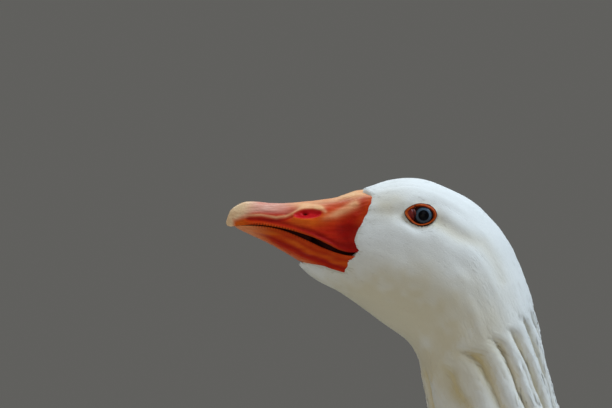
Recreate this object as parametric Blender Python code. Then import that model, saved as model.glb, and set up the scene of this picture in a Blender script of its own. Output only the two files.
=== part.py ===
"""Domestic goose (white Embden type), life size, standing alert with the head raised.

Frame: metres, +Z up, the bird faces -Y, its left side is +X, its feet stand on z = 0.
The origin lies on the floor under the middle of the bird's bounding box.

The feathered body is one loft in the bird's plane of symmetry. Each named section
spans a chord from a point on the back line to a point on the under line, with a half
width across. The loft is parted into head, two lengths of neck and trunk, and the
bill, eyes, wings, tail, thighs and feet are fitted to it with a 0.3 mm joint.
"""
import math

import bmesh
import bpy
import numpy as np
from mathutils import Matrix, Vector
from mathutils.geometry import delaunay_2d_cdt

for old in list(bpy.data.objects):
    bpy.data.objects.remove(old, do_unlink=True)

# ---------------------------------------------------------------- driving sizes, in mm
EYE_HEIGHT = 842.0        # eye centre above the floor
EYE_TO_MIDDLE = 245.4     # eye centre ahead of the middle of the bounding box
JOINT = 0.3               # clearance between neighbouring solids

BILL_LENGTH = 69.0        # tip to the feather edge on the forehead
BILL_HALF_WIDTH = 16.2    # at the gape
BILL_TIP_Y = -94.3        # all y values are measured from the eye, forward is negative
EYE_BALL_R = 6.5
EYE_BALL_X = 14.4         # ball centre from the midline
LID_OUTER = (8.0, 5.4)    # half length and half height of the bare lid ring
LID_OPENING = (6.1, 4.05)
LID_CENTRE = (-1.9, 0.3)  # lid centre from the ball centre, along y and z

FOOT_X = 66.0             # half the distance between the feet
FOOT_Y = 246.0            # where the shank meets the foot
ANKLE = (272.0, 112.0)    # y, z of the ankle joint
TOES = {                  # splay in degrees outward, length, radius at the root, at the tip
    "inner": (-27.0, 76.0, 5.6, 3.6),
    "middle": (2.0, 98.0, 6.4, 3.8),
    "outer": (30.0, 88.0, 5.8, 3.6),
}
WEB_THICK = 2.4
CLAW_LENGTH = 11.0

TAIL_ROOT = (468.0, 362.0)
TAIL_RISE = 10.0
TAIL_TIP_Y = 585.0
TAIL_HALF_FAN = 64.0

WING_THICK = 15.0

# Sections of the feathered body: back point (y, z), under point (y, z), half width,
# level of the widest place (0 under line, 1 back line), roundness above and below.
# z is measured from the floor.
SECTIONS = [
    ("bill_core",   (-47.0, 843.5), (-61.2, 819.8), 6.0, 0.50, 2.0, 2.0),
    ("lores",       (-34.0, 853.0), (-53.6, 812.6), 13.4, 0.48, 2.0, 2.0),
    ("forehead",    (-22.0, 857.3), (-42.5, 806.6), 18.4, 0.46, 2.2, 2.0),
    ("crown",       (-7.5, 859.6), (-28.6, 797.4), 22.6, 0.46, 2.35, 2.1),
    ("hind_crown",  (10.5, 855.4), (-15.2, 787.6), 25.2, 0.47, 2.25, 2.1),
    ("occiput",     (26.0, 846.0), (-6.6, 780.6), 26.6, 0.50, 2.1, 2.1),
    ("nape",        (38.6, 832.0), (-1.9, 771.6), 26.6, 0.52, 2.1, 2.1),
    ("jowl",        (47.0, 815.6), (-0.6, 762.4), 26.6, 0.53, 2.1, 2.1),
    ("neck_top",    (56.2, 783.0), (1.4, 751.0), 26.8, 0.52, 2.1, 2.1),
    ("neck_high",   (67.6, 735.0), (5.6, 721.0), 27.2, 0.50, 2.1, 2.1),
    ("neck_mid",    (79.5, 660.0), (13.5, 646.0), 28.6, 0.50, 2.1, 2.1),
    ("neck_low",    (92.0, 574.0), (12.5, 556.0), 33.5, 0.50, 2.1, 2.1),
    ("neck_root",   (112.0, 505.0), (-6.0, 472.0), 51.0, 0.47, 2.1, 2.0),
    ("shoulders",   (158.0, 458.0), (-26.0, 389.0), 85.0, 0.44, 2.1, 2.0),
    ("breast",      (214.0, 444.5), (-2.0, 300.0), 112.0, 0.42, 2.2, 2.1),
    ("keel",        (282.0, 436.5), (82.0, 219.0), 125.0, 0.42, 2.3, 2.2),
    ("belly",       (350.0, 421.0), (192.0, 177.0), 124.0, 0.42, 2.3, 2.3),
    ("paunch",      (412.0, 400.0), (300.0, 179.0), 108.0, 0.44, 2.2, 2.3),
    ("rump",        (456.0, 386.0), (386.0, 216.0), 80.0, 0.50, 2.1, 2.1),
    ("vent",        (492.0, 378.0), (452.0, 270.0), 56.0, 0.56, 2.1, 2.0),
    ("tail_coverts", (524.0, 374.5), (504.0, 322.0), 37.0, 0.62, 2.1, 2.0),
    ("tail_stock",  (556.0, 374.5), (548.0, 352.0), 22.0, 0.65, 2.1, 2.0),
]
SECTION_NAMES = [s[0] for s in SECTIONS]

# The bare bill meets the feathers along this line on the side of the head, y from the
# eye and z from the floor: forehead, lores, gape, and the angle of the lower jaw.
FEATHER_LINE = [(-23.0, 868.0), (-25.6, 854.6), (-29.0, 843.0), (-32.4, 834.5),
                (-33.8, 829.5), (-32.4, 825.4), (-34.5, 822.6), (-37.6, 820.0),
                (-38.8, 814.4), (-46.0, 816.2), (-60.2, 820.4)]

# Bill outlines in side view
CULMEN = [(-20.0, 854.9), (-26.5, 854.5), (-32.5, 853.9), (-37.2, 852.4), (-41.5, 850.4), (-49.0, 849.6),
          (-64.0, 847.8), (-74.0, 847.6), (-81.5, 848.5), (-87.6, 847.2), (-91.6, 844.2),
          (-93.8, 840.6), (-94.3, 837.6)]
TOMIUM = [(-20.0, 824.0), (-30.0, 824.4), (-37.5, 823.5), (-45.0, 825.2), (-54.0, 829.4), (-63.0, 834.0),
          (-72.0, 836.6), (-82.0, 837.4), (-90.0, 837.0), (-94.3, 837.0)]
LOWER_RIM = [(-33.0, 822.5), (-40.0, 822.2), (-47.5, 824.6), (-56.0, 827.0), (-65.0, 831.0),
             (-74.0, 834.6), (-82.0, 836.3), (-90.6, 836.5)]
LOWER_EDGE = [(-33.0, 813.2), (-39.0, 814.0), (-46.0, 815.6), (-53.0, 817.4), (-60.5, 820.6), (-68.0, 825.0),
              (-76.0, 829.4), (-83.5, 832.9), (-89.0, 835.2), (-90.6, 835.9)]


# ---------------------------------------------------------------- curves and the body loft
def place(x, y, z):
    """A point from the bird's own measures, in mm, to the frame, in metres."""
    return (x / 1000.0, (y - EYE_TO_MIDDLE) / 1000.0, z / 1000.0)


class Spline:
    """Natural cubic spline through values at given stations; values may be rows."""

    def __init__(self, at, values):
        self.x = np.asarray(at, float)
        self.y = np.asarray(values, float)
        if self.y.ndim == 1:
            self.y = self.y[:, None]
        n = len(self.x)
        h = np.diff(self.x)
        a = np.zeros((n, n))
        r = np.zeros((n, self.y.shape[1]))
        a[0, 0] = a[-1, -1] = 1.0
        for i in range(1, n - 1):
            a[i, i - 1], a[i, i], a[i, i + 1] = h[i - 1], 2 * (h[i - 1] + h[i]), h[i]
            r[i] = 6 * ((self.y[i + 1] - self.y[i]) / h[i] - (self.y[i] - self.y[i - 1]) / h[i - 1])
        self.m = np.linalg.solve(a, r)

    def __call__(self, t):
        t = np.atleast_1d(np.asarray(t, float))
        i = np.clip(np.searchsorted(self.x, t) - 1, 0, len(self.x) - 2)
        h = self.x[i + 1] - self.x[i]
        a, b = (self.x[i + 1] - t) / h, (t - self.x[i]) / h
        return (a[:, None] * self.y[i] + b[:, None] * self.y[i + 1]
                + ((a ** 3 - a) * h * h)[:, None] * self.m[i] / 6
                + ((b ** 3 - b) * h * h)[:, None] * self.m[i + 1] / 6)


def side_curve(points):
    """z as a smooth function of y, for an outline given from back to front."""
    pts = sorted(points)
    return Spline([p[0] for p in pts], [p[1] for p in pts])


_rows = np.array([[*s[1], *s[2], s[3], s[4], s[5], s[6]] for s in SECTIONS])
_mid = (_rows[:, 0:2] + _rows[:, 2:4]) / 2
STATION = np.concatenate([[0.0], np.cumsum(np.linalg.norm(np.diff(_mid, axis=0), axis=1))])
_body = Spline(STATION, _rows)


def station(name, beyond=0.0):
    """Distance of a named section along the loft, in mm."""
    return float(STATION[SECTION_NAMES.index(name)] + beyond)


def body(t, phi, grow=0.0):
    """Point on the feathered body: t mm along the loft, phi round it from the back line
    (0) over the left side to the under line (pi), grown outward by grow mm."""
    t, phi = np.broadcast_arrays(np.asarray(t, float), np.asarray(phi, float))
    r = _body(t.ravel())
    c, s = np.cos(phi.ravel()), np.sin(phi.ravel())
    back, under = r[:, 0:2], r[:, 2:4]
    chord = back - under
    unit = chord / np.linalg.norm(chord, axis=1)[:, None]
    back, under = back + grow * unit, under - grow * unit
    n = np.where(c >= 0, r[:, 6], r[:, 7])
    cc = np.sign(c) * np.abs(c) ** (2 / n)
    ss = np.sign(s) * np.abs(s) ** (2 / n)
    m = r[:, 5]
    p = np.where(cc >= 0, m + (1 - m) * cc, m + m * cc)
    yz = under + p[:, None] * (back - under)
    x = (r[:, 4] + grow) * ss
    return np.stack([x, yz[:, 0], yz[:, 1]], axis=1).reshape(t.shape + (3,))


def body_normal(t, phi):
    e = 0.5
    du = body(np.asarray(t) + e, phi) - body(np.asarray(t) - e, phi)
    dv = body(t, np.asarray(phi) + 0.01) - body(t, np.asarray(phi) - 0.01)
    n = np.cross(dv, du)
    return n / np.linalg.norm(n, axis=-1)[..., None]


# ---------------------------------------------------------------- materials and mesh helpers
def material(name, colour, roughness):
    m = bpy.data.materials.new(name)
    m.use_nodes = True
    b = m.node_tree.nodes["Principled BSDF"]
    b.inputs["Base Color"].default_value = (*colour, 1.0)
    b.inputs["Roughness"].default_value = roughness
    b.inputs["Metallic"].default_value = 0.0
    return m


PLUMAGE = material("white_plumage", (0.86, 0.85, 0.80), 0.85)
BILL = material("orange_bill", (0.72, 0.20, 0.05), 0.42)
NAIL = material("pale_nail", (0.80, 0.60, 0.45), 0.45)
LID = material("orange_lid", (0.75, 0.25, 0.06), 0.5)
EYE = material("blue_eye", (0.16, 0.24, 0.33), 0.08)
LEG = material("orange_leg", (0.80, 0.33, 0.08), 0.55)
CLAW = material("pale_claw", (0.62, 0.50, 0.38), 0.45)

goose = bpy.data.objects.new("goose_origin", None)
bpy.context.scene.collection.objects.link(goose)


def finish(bm, name, mat, sharp=40.0, helper=False):
    bmesh.ops.recalc_face_normals(bm, faces=bm.faces)
    mesh = bpy.data.meshes.new(name)
    bm.to_mesh(mesh)
    bm.free()
    mesh.materials.append(mat)
    mesh.shade_smooth()
    mesh.set_sharp_from_angle(angle=math.radians(sharp))
    obj = bpy.data.objects.new(name, mesh)
    bpy.context.scene.collection.objects.link(obj)
    obj.parent = goose
    if helper:
        obj.hide_render = True
        obj.display_type = "WIRE"
    return obj


def loft(rings, name, mat, sharp=40.0, helper=False):
    """A closed skin over rings of points in mm, all with the same count; a one-point
    ring is a pole."""
    bm = bmesh.new()
    loops = [[bm.verts.new(place(*p)) for p in ring] for ring in rings]
    for a, b in zip(loops, loops[1:]):
        n = max(len(a), len(b))
        for i in range(n):
            j = (i + 1) % n
            if len(a) == 1:
                bm.faces.new((a[0], b[j], b[i]))
            elif len(b) == 1:
                bm.faces.new((a[i], a[j], b[0]))
            elif i < n / 2:                       # alike on both sides of the bird
                bm.faces.new((a[i], a[j], b[j]))
                bm.faces.new((a[i], b[j], b[i]))
            else:
                bm.faces.new((a[i], a[j], b[i]))
                bm.faces.new((a[j], b[j], b[i]))
    for end in (loops[0], loops[-1]):
        if len(end) > 2:
            bm.faces.new(end)
    return finish(bm, name, mat, sharp, helper)


def mirrored(build):
    """Calls build(side, word) for the left (+1) and the right (-1) of the bird."""
    for side, word in ((1, "left"), (-1, "right")):
        build(side, word)


def cut(obj, cutter, operation="DIFFERENCE"):
    mod = obj.modifiers.new("cut_" + cutter.name[:40], "BOOLEAN")
    mod.operation = operation
    mod.solver = "EXACT"
    mod.object = cutter
    return mod


def prism(outline, half_width, name, grow=0.0):
    """A side-view outline (y, z) drawn across the bird."""
    pts = np.array(outline, float)
    if grow:
        nxt, prv = np.roll(pts, -1, 0), np.roll(pts, 1, 0)
        tangent = nxt - prv
        area = 0.5 * np.sum(pts[:, 0] * nxt[:, 1] - nxt[:, 0] * pts[:, 1])
        normal = np.stack([tangent[:, 1], -tangent[:, 0]], 1) * np.sign(area)
        pts = pts + grow * normal / np.linalg.norm(normal, axis=1)[:, None]
    bm = bmesh.new()
    a = [bm.verts.new(place(-half_width, *p)) for p in pts]
    b = [bm.verts.new(place(half_width, *p)) for p in pts]
    bm.faces.new(a)
    bm.faces.new(b)
    for i in range(len(a)):
        j = (i + 1) % len(a)
        bm.faces.new((a[i], a[j], b[j], b[i]))
    return finish(bm, name, BILL, helper=True)


def body_rings(t0, t1, count, around, grow=0.0):
    phis = np.linspace(0, 2 * np.pi, around, endpoint=False)
    return [body(np.full(around, t), phis, grow) for t in np.linspace(t0, t1, count)]


# ---------------------------------------------------------------- head, neck and trunk
T_HEAD = station("neck_top", -6.0)
T_NECK = station("neck_mid", 20.0)
T_TRUNK = station("neck_root", 14.0)
T_END = station("tail_coverts", 14.0)
HALF_JOINT = 0.5 * JOINT + 0.06

head = loft(body_rings(0.0, T_HEAD - HALF_JOINT, 17, 24), "head", PLUMAGE)
neck_upper = loft(body_rings(T_HEAD + HALF_JOINT, T_NECK - HALF_JOINT, 7, 24), "neck_upper", PLUMAGE)
neck_lower = loft(body_rings(T_NECK + HALF_JOINT, T_TRUNK - HALF_JOINT, 9, 24), "neck_lower", PLUMAGE)
trunk = loft(body_rings(T_TRUNK + HALF_JOINT, T_END, 17, 28), "trunk", PLUMAGE)
grown_rings = body_rings(T_TRUNK + HALF_JOINT, T_END, 17, 28, 1.4 * JOINT)
trunk_grown = loft(body_rings(T_TRUNK - 14.0, T_TRUNK - 7.0, 2, 28, 1.4 * JOINT) + grown_rings
                   + body_rings(T_END + 2 * JOINT, T_END + 2 * JOINT, 1, 28, 1.4 * JOINT), "trunk_clearance", PLUMAGE, helper=True)

# ---------------------------------------------------------------- bill
culmen, tomium = side_curve(CULMEN), side_curve(TOMIUM)
lower_rim, lower_edge = side_curve(LOWER_RIM), side_curve(LOWER_EDGE)


def bill_half_width(y):
    """Plan of the bill: a blunt wedge, rounded at the tip."""
    f = np.clip((y - BILL_TIP_Y) / 62.0, 0.0, 1.2)       # 0 at the tip, 1 at the gape
    return BILL_HALF_WIDTH * (0.50 * np.sqrt(np.clip(f, 0, 1) * (2 - np.clip(f, 0, 1))) ** 0.85 + 0.50 * f)


def upper_bill_ring(y, around=22):
    """Arched section: rounded culmen ridge, full sides, a narrow vertical rim at the tomium
    and a hollowed palate."""
    top, low = culmen(y)[0, 0], tomium(y)[0, 0]
    w, h = float(bill_half_width(y)), 0.0
    h = top - low
    ring = []
    arch = around - 8
    for i in range(arch + 1):
        a = math.pi * i / arch
        c, s = math.cos(a), math.sin(a)
        # x from +w to -w over the culmen
        x = w * np.sign(c) * abs(c) ** 0.92
        z = low + h * abs(s) ** 1.15
        ring.append((x, y, z))
    for i in range(1, around - arch):
        f = i / (around - arch)
        x = -w + 2 * w * f
        z = low + 0.16 * h * math.sin(math.pi * f)
        ring.append((x * 0.94, y, z))
    return ring


ys = [BILL_TIP_Y + 62.0 * f for f in (0.012, 0.05, 0.12, 0.21, 0.33, 0.46, 0.60, 0.74, 0.88, 0.98)] + [-27.0, -21.0]
tip = [(0.0, BILL_TIP_Y, float(culmen(BILL_TIP_Y)[0, 0] + tomium(BILL_TIP_Y)[0, 0]) / 2)]
upper_bill = loft([tip] + [upper_bill_ring(y) for y in ys], "bill_upper", BILL)


def lower_bill_ring(y, around=18, grow=0.0):
    """Shallow trough seen from the side as a slim jaw; its floor is crowned so that the
    mouth is closed behind the parted rims."""
    top, low = lower_rim(y)[0, 0], lower_edge(y)[0, 0]
    w = float(bill_half_width(y)) * 0.93 + grow
    top, low = top + grow, low - grow
    h = top - low
    ring = []
    half = around // 2
    for i in range(half + 1):
        a = math.pi * i / half
        x = w * math.cos(a)
        gap = max(0.0, float(tomium(y)[0, 0]) - top)
        crown = (gap + 0.16 * (culmen(y)[0, 0] - tomium(y)[0, 0]) - 1.2 * JOINT) * max(0.0, math.sin(a) - 0.35) / 0.65
        ring.append((x, y, top + max(0.0, crown) * min(1.0, h / 4.0)))
    for i in range(1, around - half):
        a = math.pi * i / (around - half)
        x = -w * math.cos(a)
        z = top - h * math.sin(a) ** 0.7
        ring.append((x, y, z))
    return ring


ly = [-90.2, -87.5, -83.0, -77.0, -70.0, -63.0, -56.0, -49.0, -43.0, -38.0, -33.5]
lower_bill = loft([lower_bill_ring(y) for y in ly], "bill_lower", BILL)

bill_side = FEATHER_LINE + [(-66.0, 816.0), (-100.0, 820.0), (-100.0, 868.0)]
bill_space = prism(bill_side, 40.0, "bill_space", grow=JOINT / 2)
bill_limit = prism(bill_side, 40.0, "bill_limit", grow=-JOINT / 2)
cut(head, bill_space)
cut(upper_bill, bill_limit, "INTERSECT")
cut(lower_bill, bill_limit, "INTERSECT")
# the upper bill clears the lower one along the closed part of the gape
gape_clearance = loft([lower_bill_ring(y, grow=JOINT) for y in [-90.6] + ly[1:-1] + [-33.0]], "gape_clearance", BILL,
                      helper=True)
cut(upper_bill, gape_clearance)

# ---------------------------------------------------------------- eyes and lids
def surface_x(y, z, t_low=5.0, t_high=None):
    """Half width of the feathered body at side-view place (y, z), by a search over the
    loft."""
    t_high = t_high or T_HEAD
    best = None
    for t in np.linspace(t_low, t_high, 60):
        p = body(np.full(60, t), np.linspace(0.05, math.pi - 0.05, 60))
        d = (p[:, 1] - y) ** 2 + (p[:, 2] - z) ** 2
        i = int(np.argmin(d))
        if best is None or d[i] < best[0]:
            best = (d[i], p[i, 0])
    return float(best[1])


EYE_SURFACE = surface_x(0.0, EYE_HEIGHT)


def almond(a, length, height):
    """Outline of the lids: rounder behind, drawn to a corner in front. a runs from the
    rear corner over the top."""
    c, s = math.cos(a), math.sin(a)
    taper = 1.0 - 0.30 * max(0.0, -c) ** 2
    return length * c, height * s * taper


def oval_rod(side, length, height, x0, x1, name, steps=16, helper=True, mat=None):
    cy, cz = LID_CENTRE[0], EYE_HEIGHT + LID_CENTRE[1]
    rings = []
    for x in (x0, x1):
        ring = []
        for i in range(steps):
            y, z = almond(2 * math.pi * i / steps, length, height)
            ring.append((side * x, cy + y, cz + z))
        rings.append(ring)
    return loft(rings, name, mat or LID, helper=helper)


def ball(side, r, name, helper=False):
    bm = bmesh.new()
    bmesh.ops.create_uvsphere(bm, u_segments=16, v_segments=10, radius=r / 1000.0)
    bmesh.ops.rotate(bm, verts=bm.verts, cent=(0, 0, 0), matrix=Matrix.Rotation(math.pi / 2, 3, "Y"))
    obj = finish(bm, name, EYE, helper=helper)
    obj.location = place(side * EYE_BALL_X, 0.0, EYE_HEIGHT)
    return obj


def lid_ring(side, word):
    """Bare ring of the lids: it leans from the face in to the ball."""
    steps = 16
    rings = []
    cy, cz = LID_CENTRE[0], EYE_HEIGHT + LID_CENTRE[1]
    face = EYE_SURFACE
    for length, height, x in (
            (LID_OUTER[0] - 0.1, LID_OUTER[1] - 0.1, face - 4.0),
            (LID_OUTER[0] - 0.1, LID_OUTER[1] - 0.1, face + 0.1),
            (LID_OUTER[0] - 0.9, LID_OUTER[1] - 0.7, face + 0.9),
            (LID_OPENING[0] + 0.2, LID_OPENING[1] + 0.2, face + 0.5),
            (LID_OPENING[0], LID_OPENING[1], face - 0.2),
            (LID_OPENING[0], LID_OPENING[1], face - 4.0)):
        ring = []
        for i in range(steps):
            y, z = almond(2 * math.pi * i / steps, length, height)
            ring.append((side * x, cy + y, cz + z))
        rings.append(ring)
    bm = bmesh.new()
    loops = [[bm.verts.new(place(*p)) for p in ring] for ring in rings]
    for k in range(len(loops)):
        a, b = loops[k], loops[(k + 1) % len(loops)]
        for i in range(steps):
            j = (i + 1) % steps
            bm.faces.new((a[i], a[j], b[j], b[i]))
    ring = finish(bm, "lid_" + word, LID)
    cut(ring, ball(side, EYE_BALL_R + JOINT, "ball_clearance_" + word, helper=True))
    return ring


def eye_set(side, word):
    ball(side, EYE_BALL_R, "eye_" + word)
    lid_ring(side, word)
    seat = oval_rod(side, LID_OUTER[0] + 0.2, LID_OUTER[1] + 0.2, EYE_SURFACE - 4.3, EYE_SURFACE + 9.0,
                    "lid_seat_" + word)
    cut(head, seat)
    cut(head, bpy.data.objects["ball_clearance_" + word])


mirrored(eye_set)


# ---------------------------------------------------------------- nostrils
def nostril(side, word):
    """A long slot in the side of the upper bill, low at the front and rounded behind."""
    bm = bmesh.new()
    bmesh.ops.create_uvsphere(bm, u_segments=12, v_segments=8, radius=0.001)
    obj = finish(bm, "nostril_" + word, BILL, helper=True)
    obj.scale = (3.4, 5.6, 1.9)
    obj.rotation_euler = (math.radians(-4.0), 0.0, 0.0)
    x = float(bill_half_width(-57.6)) * 0.80
    obj.location = place(side * x, -57.6, 843.9)
    cut(upper_bill, obj)


mirrored(nostril)


# ---------------------------------------------------------------- wings
W_FRONT, W_BACK = station("shoulders", -14.0), station("tail_coverts", 10.0)
# share of the wing's length, upper edge and lower edge in degrees from the back line,
# thickness as a share of WING_THICK
WING_PLAN = [(0.00, 58.0, 70.0, 0.20), (0.06, 38.0, 90.0, 0.55), (0.15, 24.0, 101.0, 0.85), (0.32, 14.0, 108.0, 1.00),
             (0.50, 9.0, 107.0, 1.00), (0.66, 7.5, 96.0, 0.95), (0.80, 6.5, 72.0, 0.80), (0.91, 6.5, 44.0, 0.62),
             (1.00, 8.0, 26.0, 0.35)]
_plan = Spline([p[0] for p in WING_PLAN], [p[1:] for p in WING_PLAN])


def wing_point(a, b, lift):
    """a runs 0 to 1 from the wrist to the tip, b from -1 at the lower edge to +1 at the
    upper edge."""
    top, low, _ = _plan(a)[0]
    phi = math.radians((top + low) / 2 - b * (low - top) / 2)
    t = W_FRONT + (W_BACK - W_FRONT) * a
    p, n = body(t, phi), body_normal(t, phi)
    return p + lift * n


def wing(side, word):
    across = 9
    rings = []
    for a in np.linspace(0.0, 1.0, 14):
        thick = WING_THICK * float(_plan(a)[0][2])
        outer, inner = [], []
        for b in np.linspace(-1, 1, across):
            edge = 1.0 - abs(b) ** 3.0
            outer.append(wing_point(a, b, 1.4 + (thick - 1.4) * edge))
        for b in np.linspace(1, -1, across)[1:-1]:
            inner.append(wing_point(a, b, -2.5))
        ring = [outer[0] * 1.0] + outer[1:] + inner
        rings.append([(side * p[0], p[1], p[2]) for p in ring])
    obj = loft(rings, "wing_" + word, PLUMAGE)
    cut(obj, trunk_grown)
    return obj


mirrored(wing)


# ---------------------------------------------------------------- tail
def tail_ring(f, grow=0.0):
    """Section of the spread tail at share f of its length: a thin arched blade."""
    y = TAIL_ROOT[0] + (TAIL_TIP_Y - TAIL_ROOT[0]) * f
    z = TAIL_ROOT[1] + TAIL_RISE * f
    w = TAIL_HALF_FAN * (0.26 + 0.74 * max(0.0, f) ** 0.9)
    if f > 0.72:                                  # rounded end of the fan
        w *= math.sqrt(max(0.0, 1.0 - ((f - 0.72) / 0.285) ** 2)) * 0.94 + 0.06
    w += grow
    thick = 9.0 - 7.4 * min(1.0, f / 0.9) + 2.8 * grow
    ring = []
    n = 9
    for i in range(n):
        u = 1 - 2 * i / (n - 1)
        ring.append((w * u, y, z - 11.0 * (u * w / TAIL_HALF_FAN) ** 2 + thick / 2 * (1 - 0.75 * abs(u) ** 3)))
    for i in range(1, n - 1):
        u = -1 + 2 * i / (n - 1)
        ring.append((w * u, y, z - 11.0 * (u * w / TAIL_HALF_FAN) ** 2 - thick / 2 * (1 - 0.75 * abs(u) ** 3)))
    return ring


TAIL_SHARES = (0.0, 0.12, 0.24, 0.36, 0.48, 0.60, 0.72, 0.82, 0.90, 0.96, 1.0)
tail = loft([tail_ring(f) for f in TAIL_SHARES], "tail", PLUMAGE)
tail_grown = loft([tail_ring(f, JOINT) for f in (-0.02,) + TAIL_SHARES[1:-1] + (1.01,)], "tail_clearance", PLUMAGE,
                  helper=True)
cut(tail, trunk_grown)
for word in ("left", "right"):
    cut(bpy.data.objects["wing_" + word], tail_grown)


# ---------------------------------------------------------------- legs
LEG_PATH = [  # x from the midline, y, z, half width across, half width fore and aft
    (72.0, 214.0, 262.0, 40.0, 48.0), (71.0, 232.0, 214.0, 33.0, 40.0), (70.0, 251.0, 172.0, 22.0, 27.0),
    (68.5, 265.0, 138.0, 12.5, 14.5), (67.5, 270.5, 121.0, 9.6, 11.6), (67.0, 270.5, 109.0, 9.2, 11.0),
    (66.5, 266.5, 94.0, 6.6, 8.2), (66.2, 260.0, 66.0, 5.9, 7.2), (66.0, 253.5, 40.0, 6.2, 7.4),
    (66.0, 248.5, 22.0, 7.6, 8.8), (66.0, 246.6, 15.9, 8.4, 9.6)]
_leg = np.array(LEG_PATH)
_leg_at = np.concatenate([[0.0], np.cumsum(np.linalg.norm(np.diff(_leg[:, :3], axis=0), axis=1))])
leg_curve = Spline(_leg_at, _leg)
FEATHER_END = float(_leg_at[4]) - 4.0


def leg_ring(s, side, around, grow=0.0):
    p = leg_curve(s)[0]
    d = (leg_curve(s + 0.5) - leg_curve(s - 0.5))[0, :3]
    d /= np.linalg.norm(d)
    across = np.array([1.0, 0.0, 0.0]) - d[0] * d
    across /= np.linalg.norm(across)
    fore = np.cross(d, across)
    ring = []
    for i in range(around):
        a = 2 * math.pi * i / around
        q = p[:3] + across * (p[3] + grow) * math.cos(a) + fore * (p[4] + grow) * math.sin(a)
        ring.append((side * q[0], q[1], q[2]))
    return ring


def toe_path(word, spec, side):
    splay, length, r0, r1 = spec
    a = math.radians(splay)
    direction = np.array([side * math.sin(a), -math.cos(a), 0.0])
    root = np.array([side * FOOT_X, FOOT_Y - 2.0, 0.0])
    return root, direction


def toe_line(word, side):
    splay, length, r0, r1 = TOES[word]
    a = math.radians(splay)
    d = np.array([side * math.sin(a), -math.cos(a)])
    return np.array([side * FOOT_X, FOOT_Y - 2.0]), d, length, r0, r1


def foot_height(x, y, side):
    """Height of the foot's upper side over the floor: web, three knuckled toes and the
    mound under the shank, whichever is highest."""
    top = WEB_THICK
    for word in TOES:
        root, d, length, r0, r1 = toe_line(word, side)
        along = (x - root[0]) * d[0] + (y - root[1]) * d[1]
        off = abs(-(x - root[0]) * d[1] + (y - root[1]) * d[0])
        f = min(max(along / length, 0.0), 1.0)
        r = (r0 + (r1 - r0) * f) * (1.0 + 0.10 * math.cos(6 * math.pi * f) - 0.22 * f ** 10)
        if off < r and -2.0 < along < length + 1.0:
            top = max(top, 0.95 * r + 0.95 * r * math.sqrt(1 - (off / r) ** 2))
    d = math.hypot((x - side * FOOT_X), (y - FOOT_Y) / 1.12)
    top = max(top, 15.4 - 0.62 * max(0.0, d - 8.6) - 0.012 * max(0.0, d - 8.6) ** 2)
    return top


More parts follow.
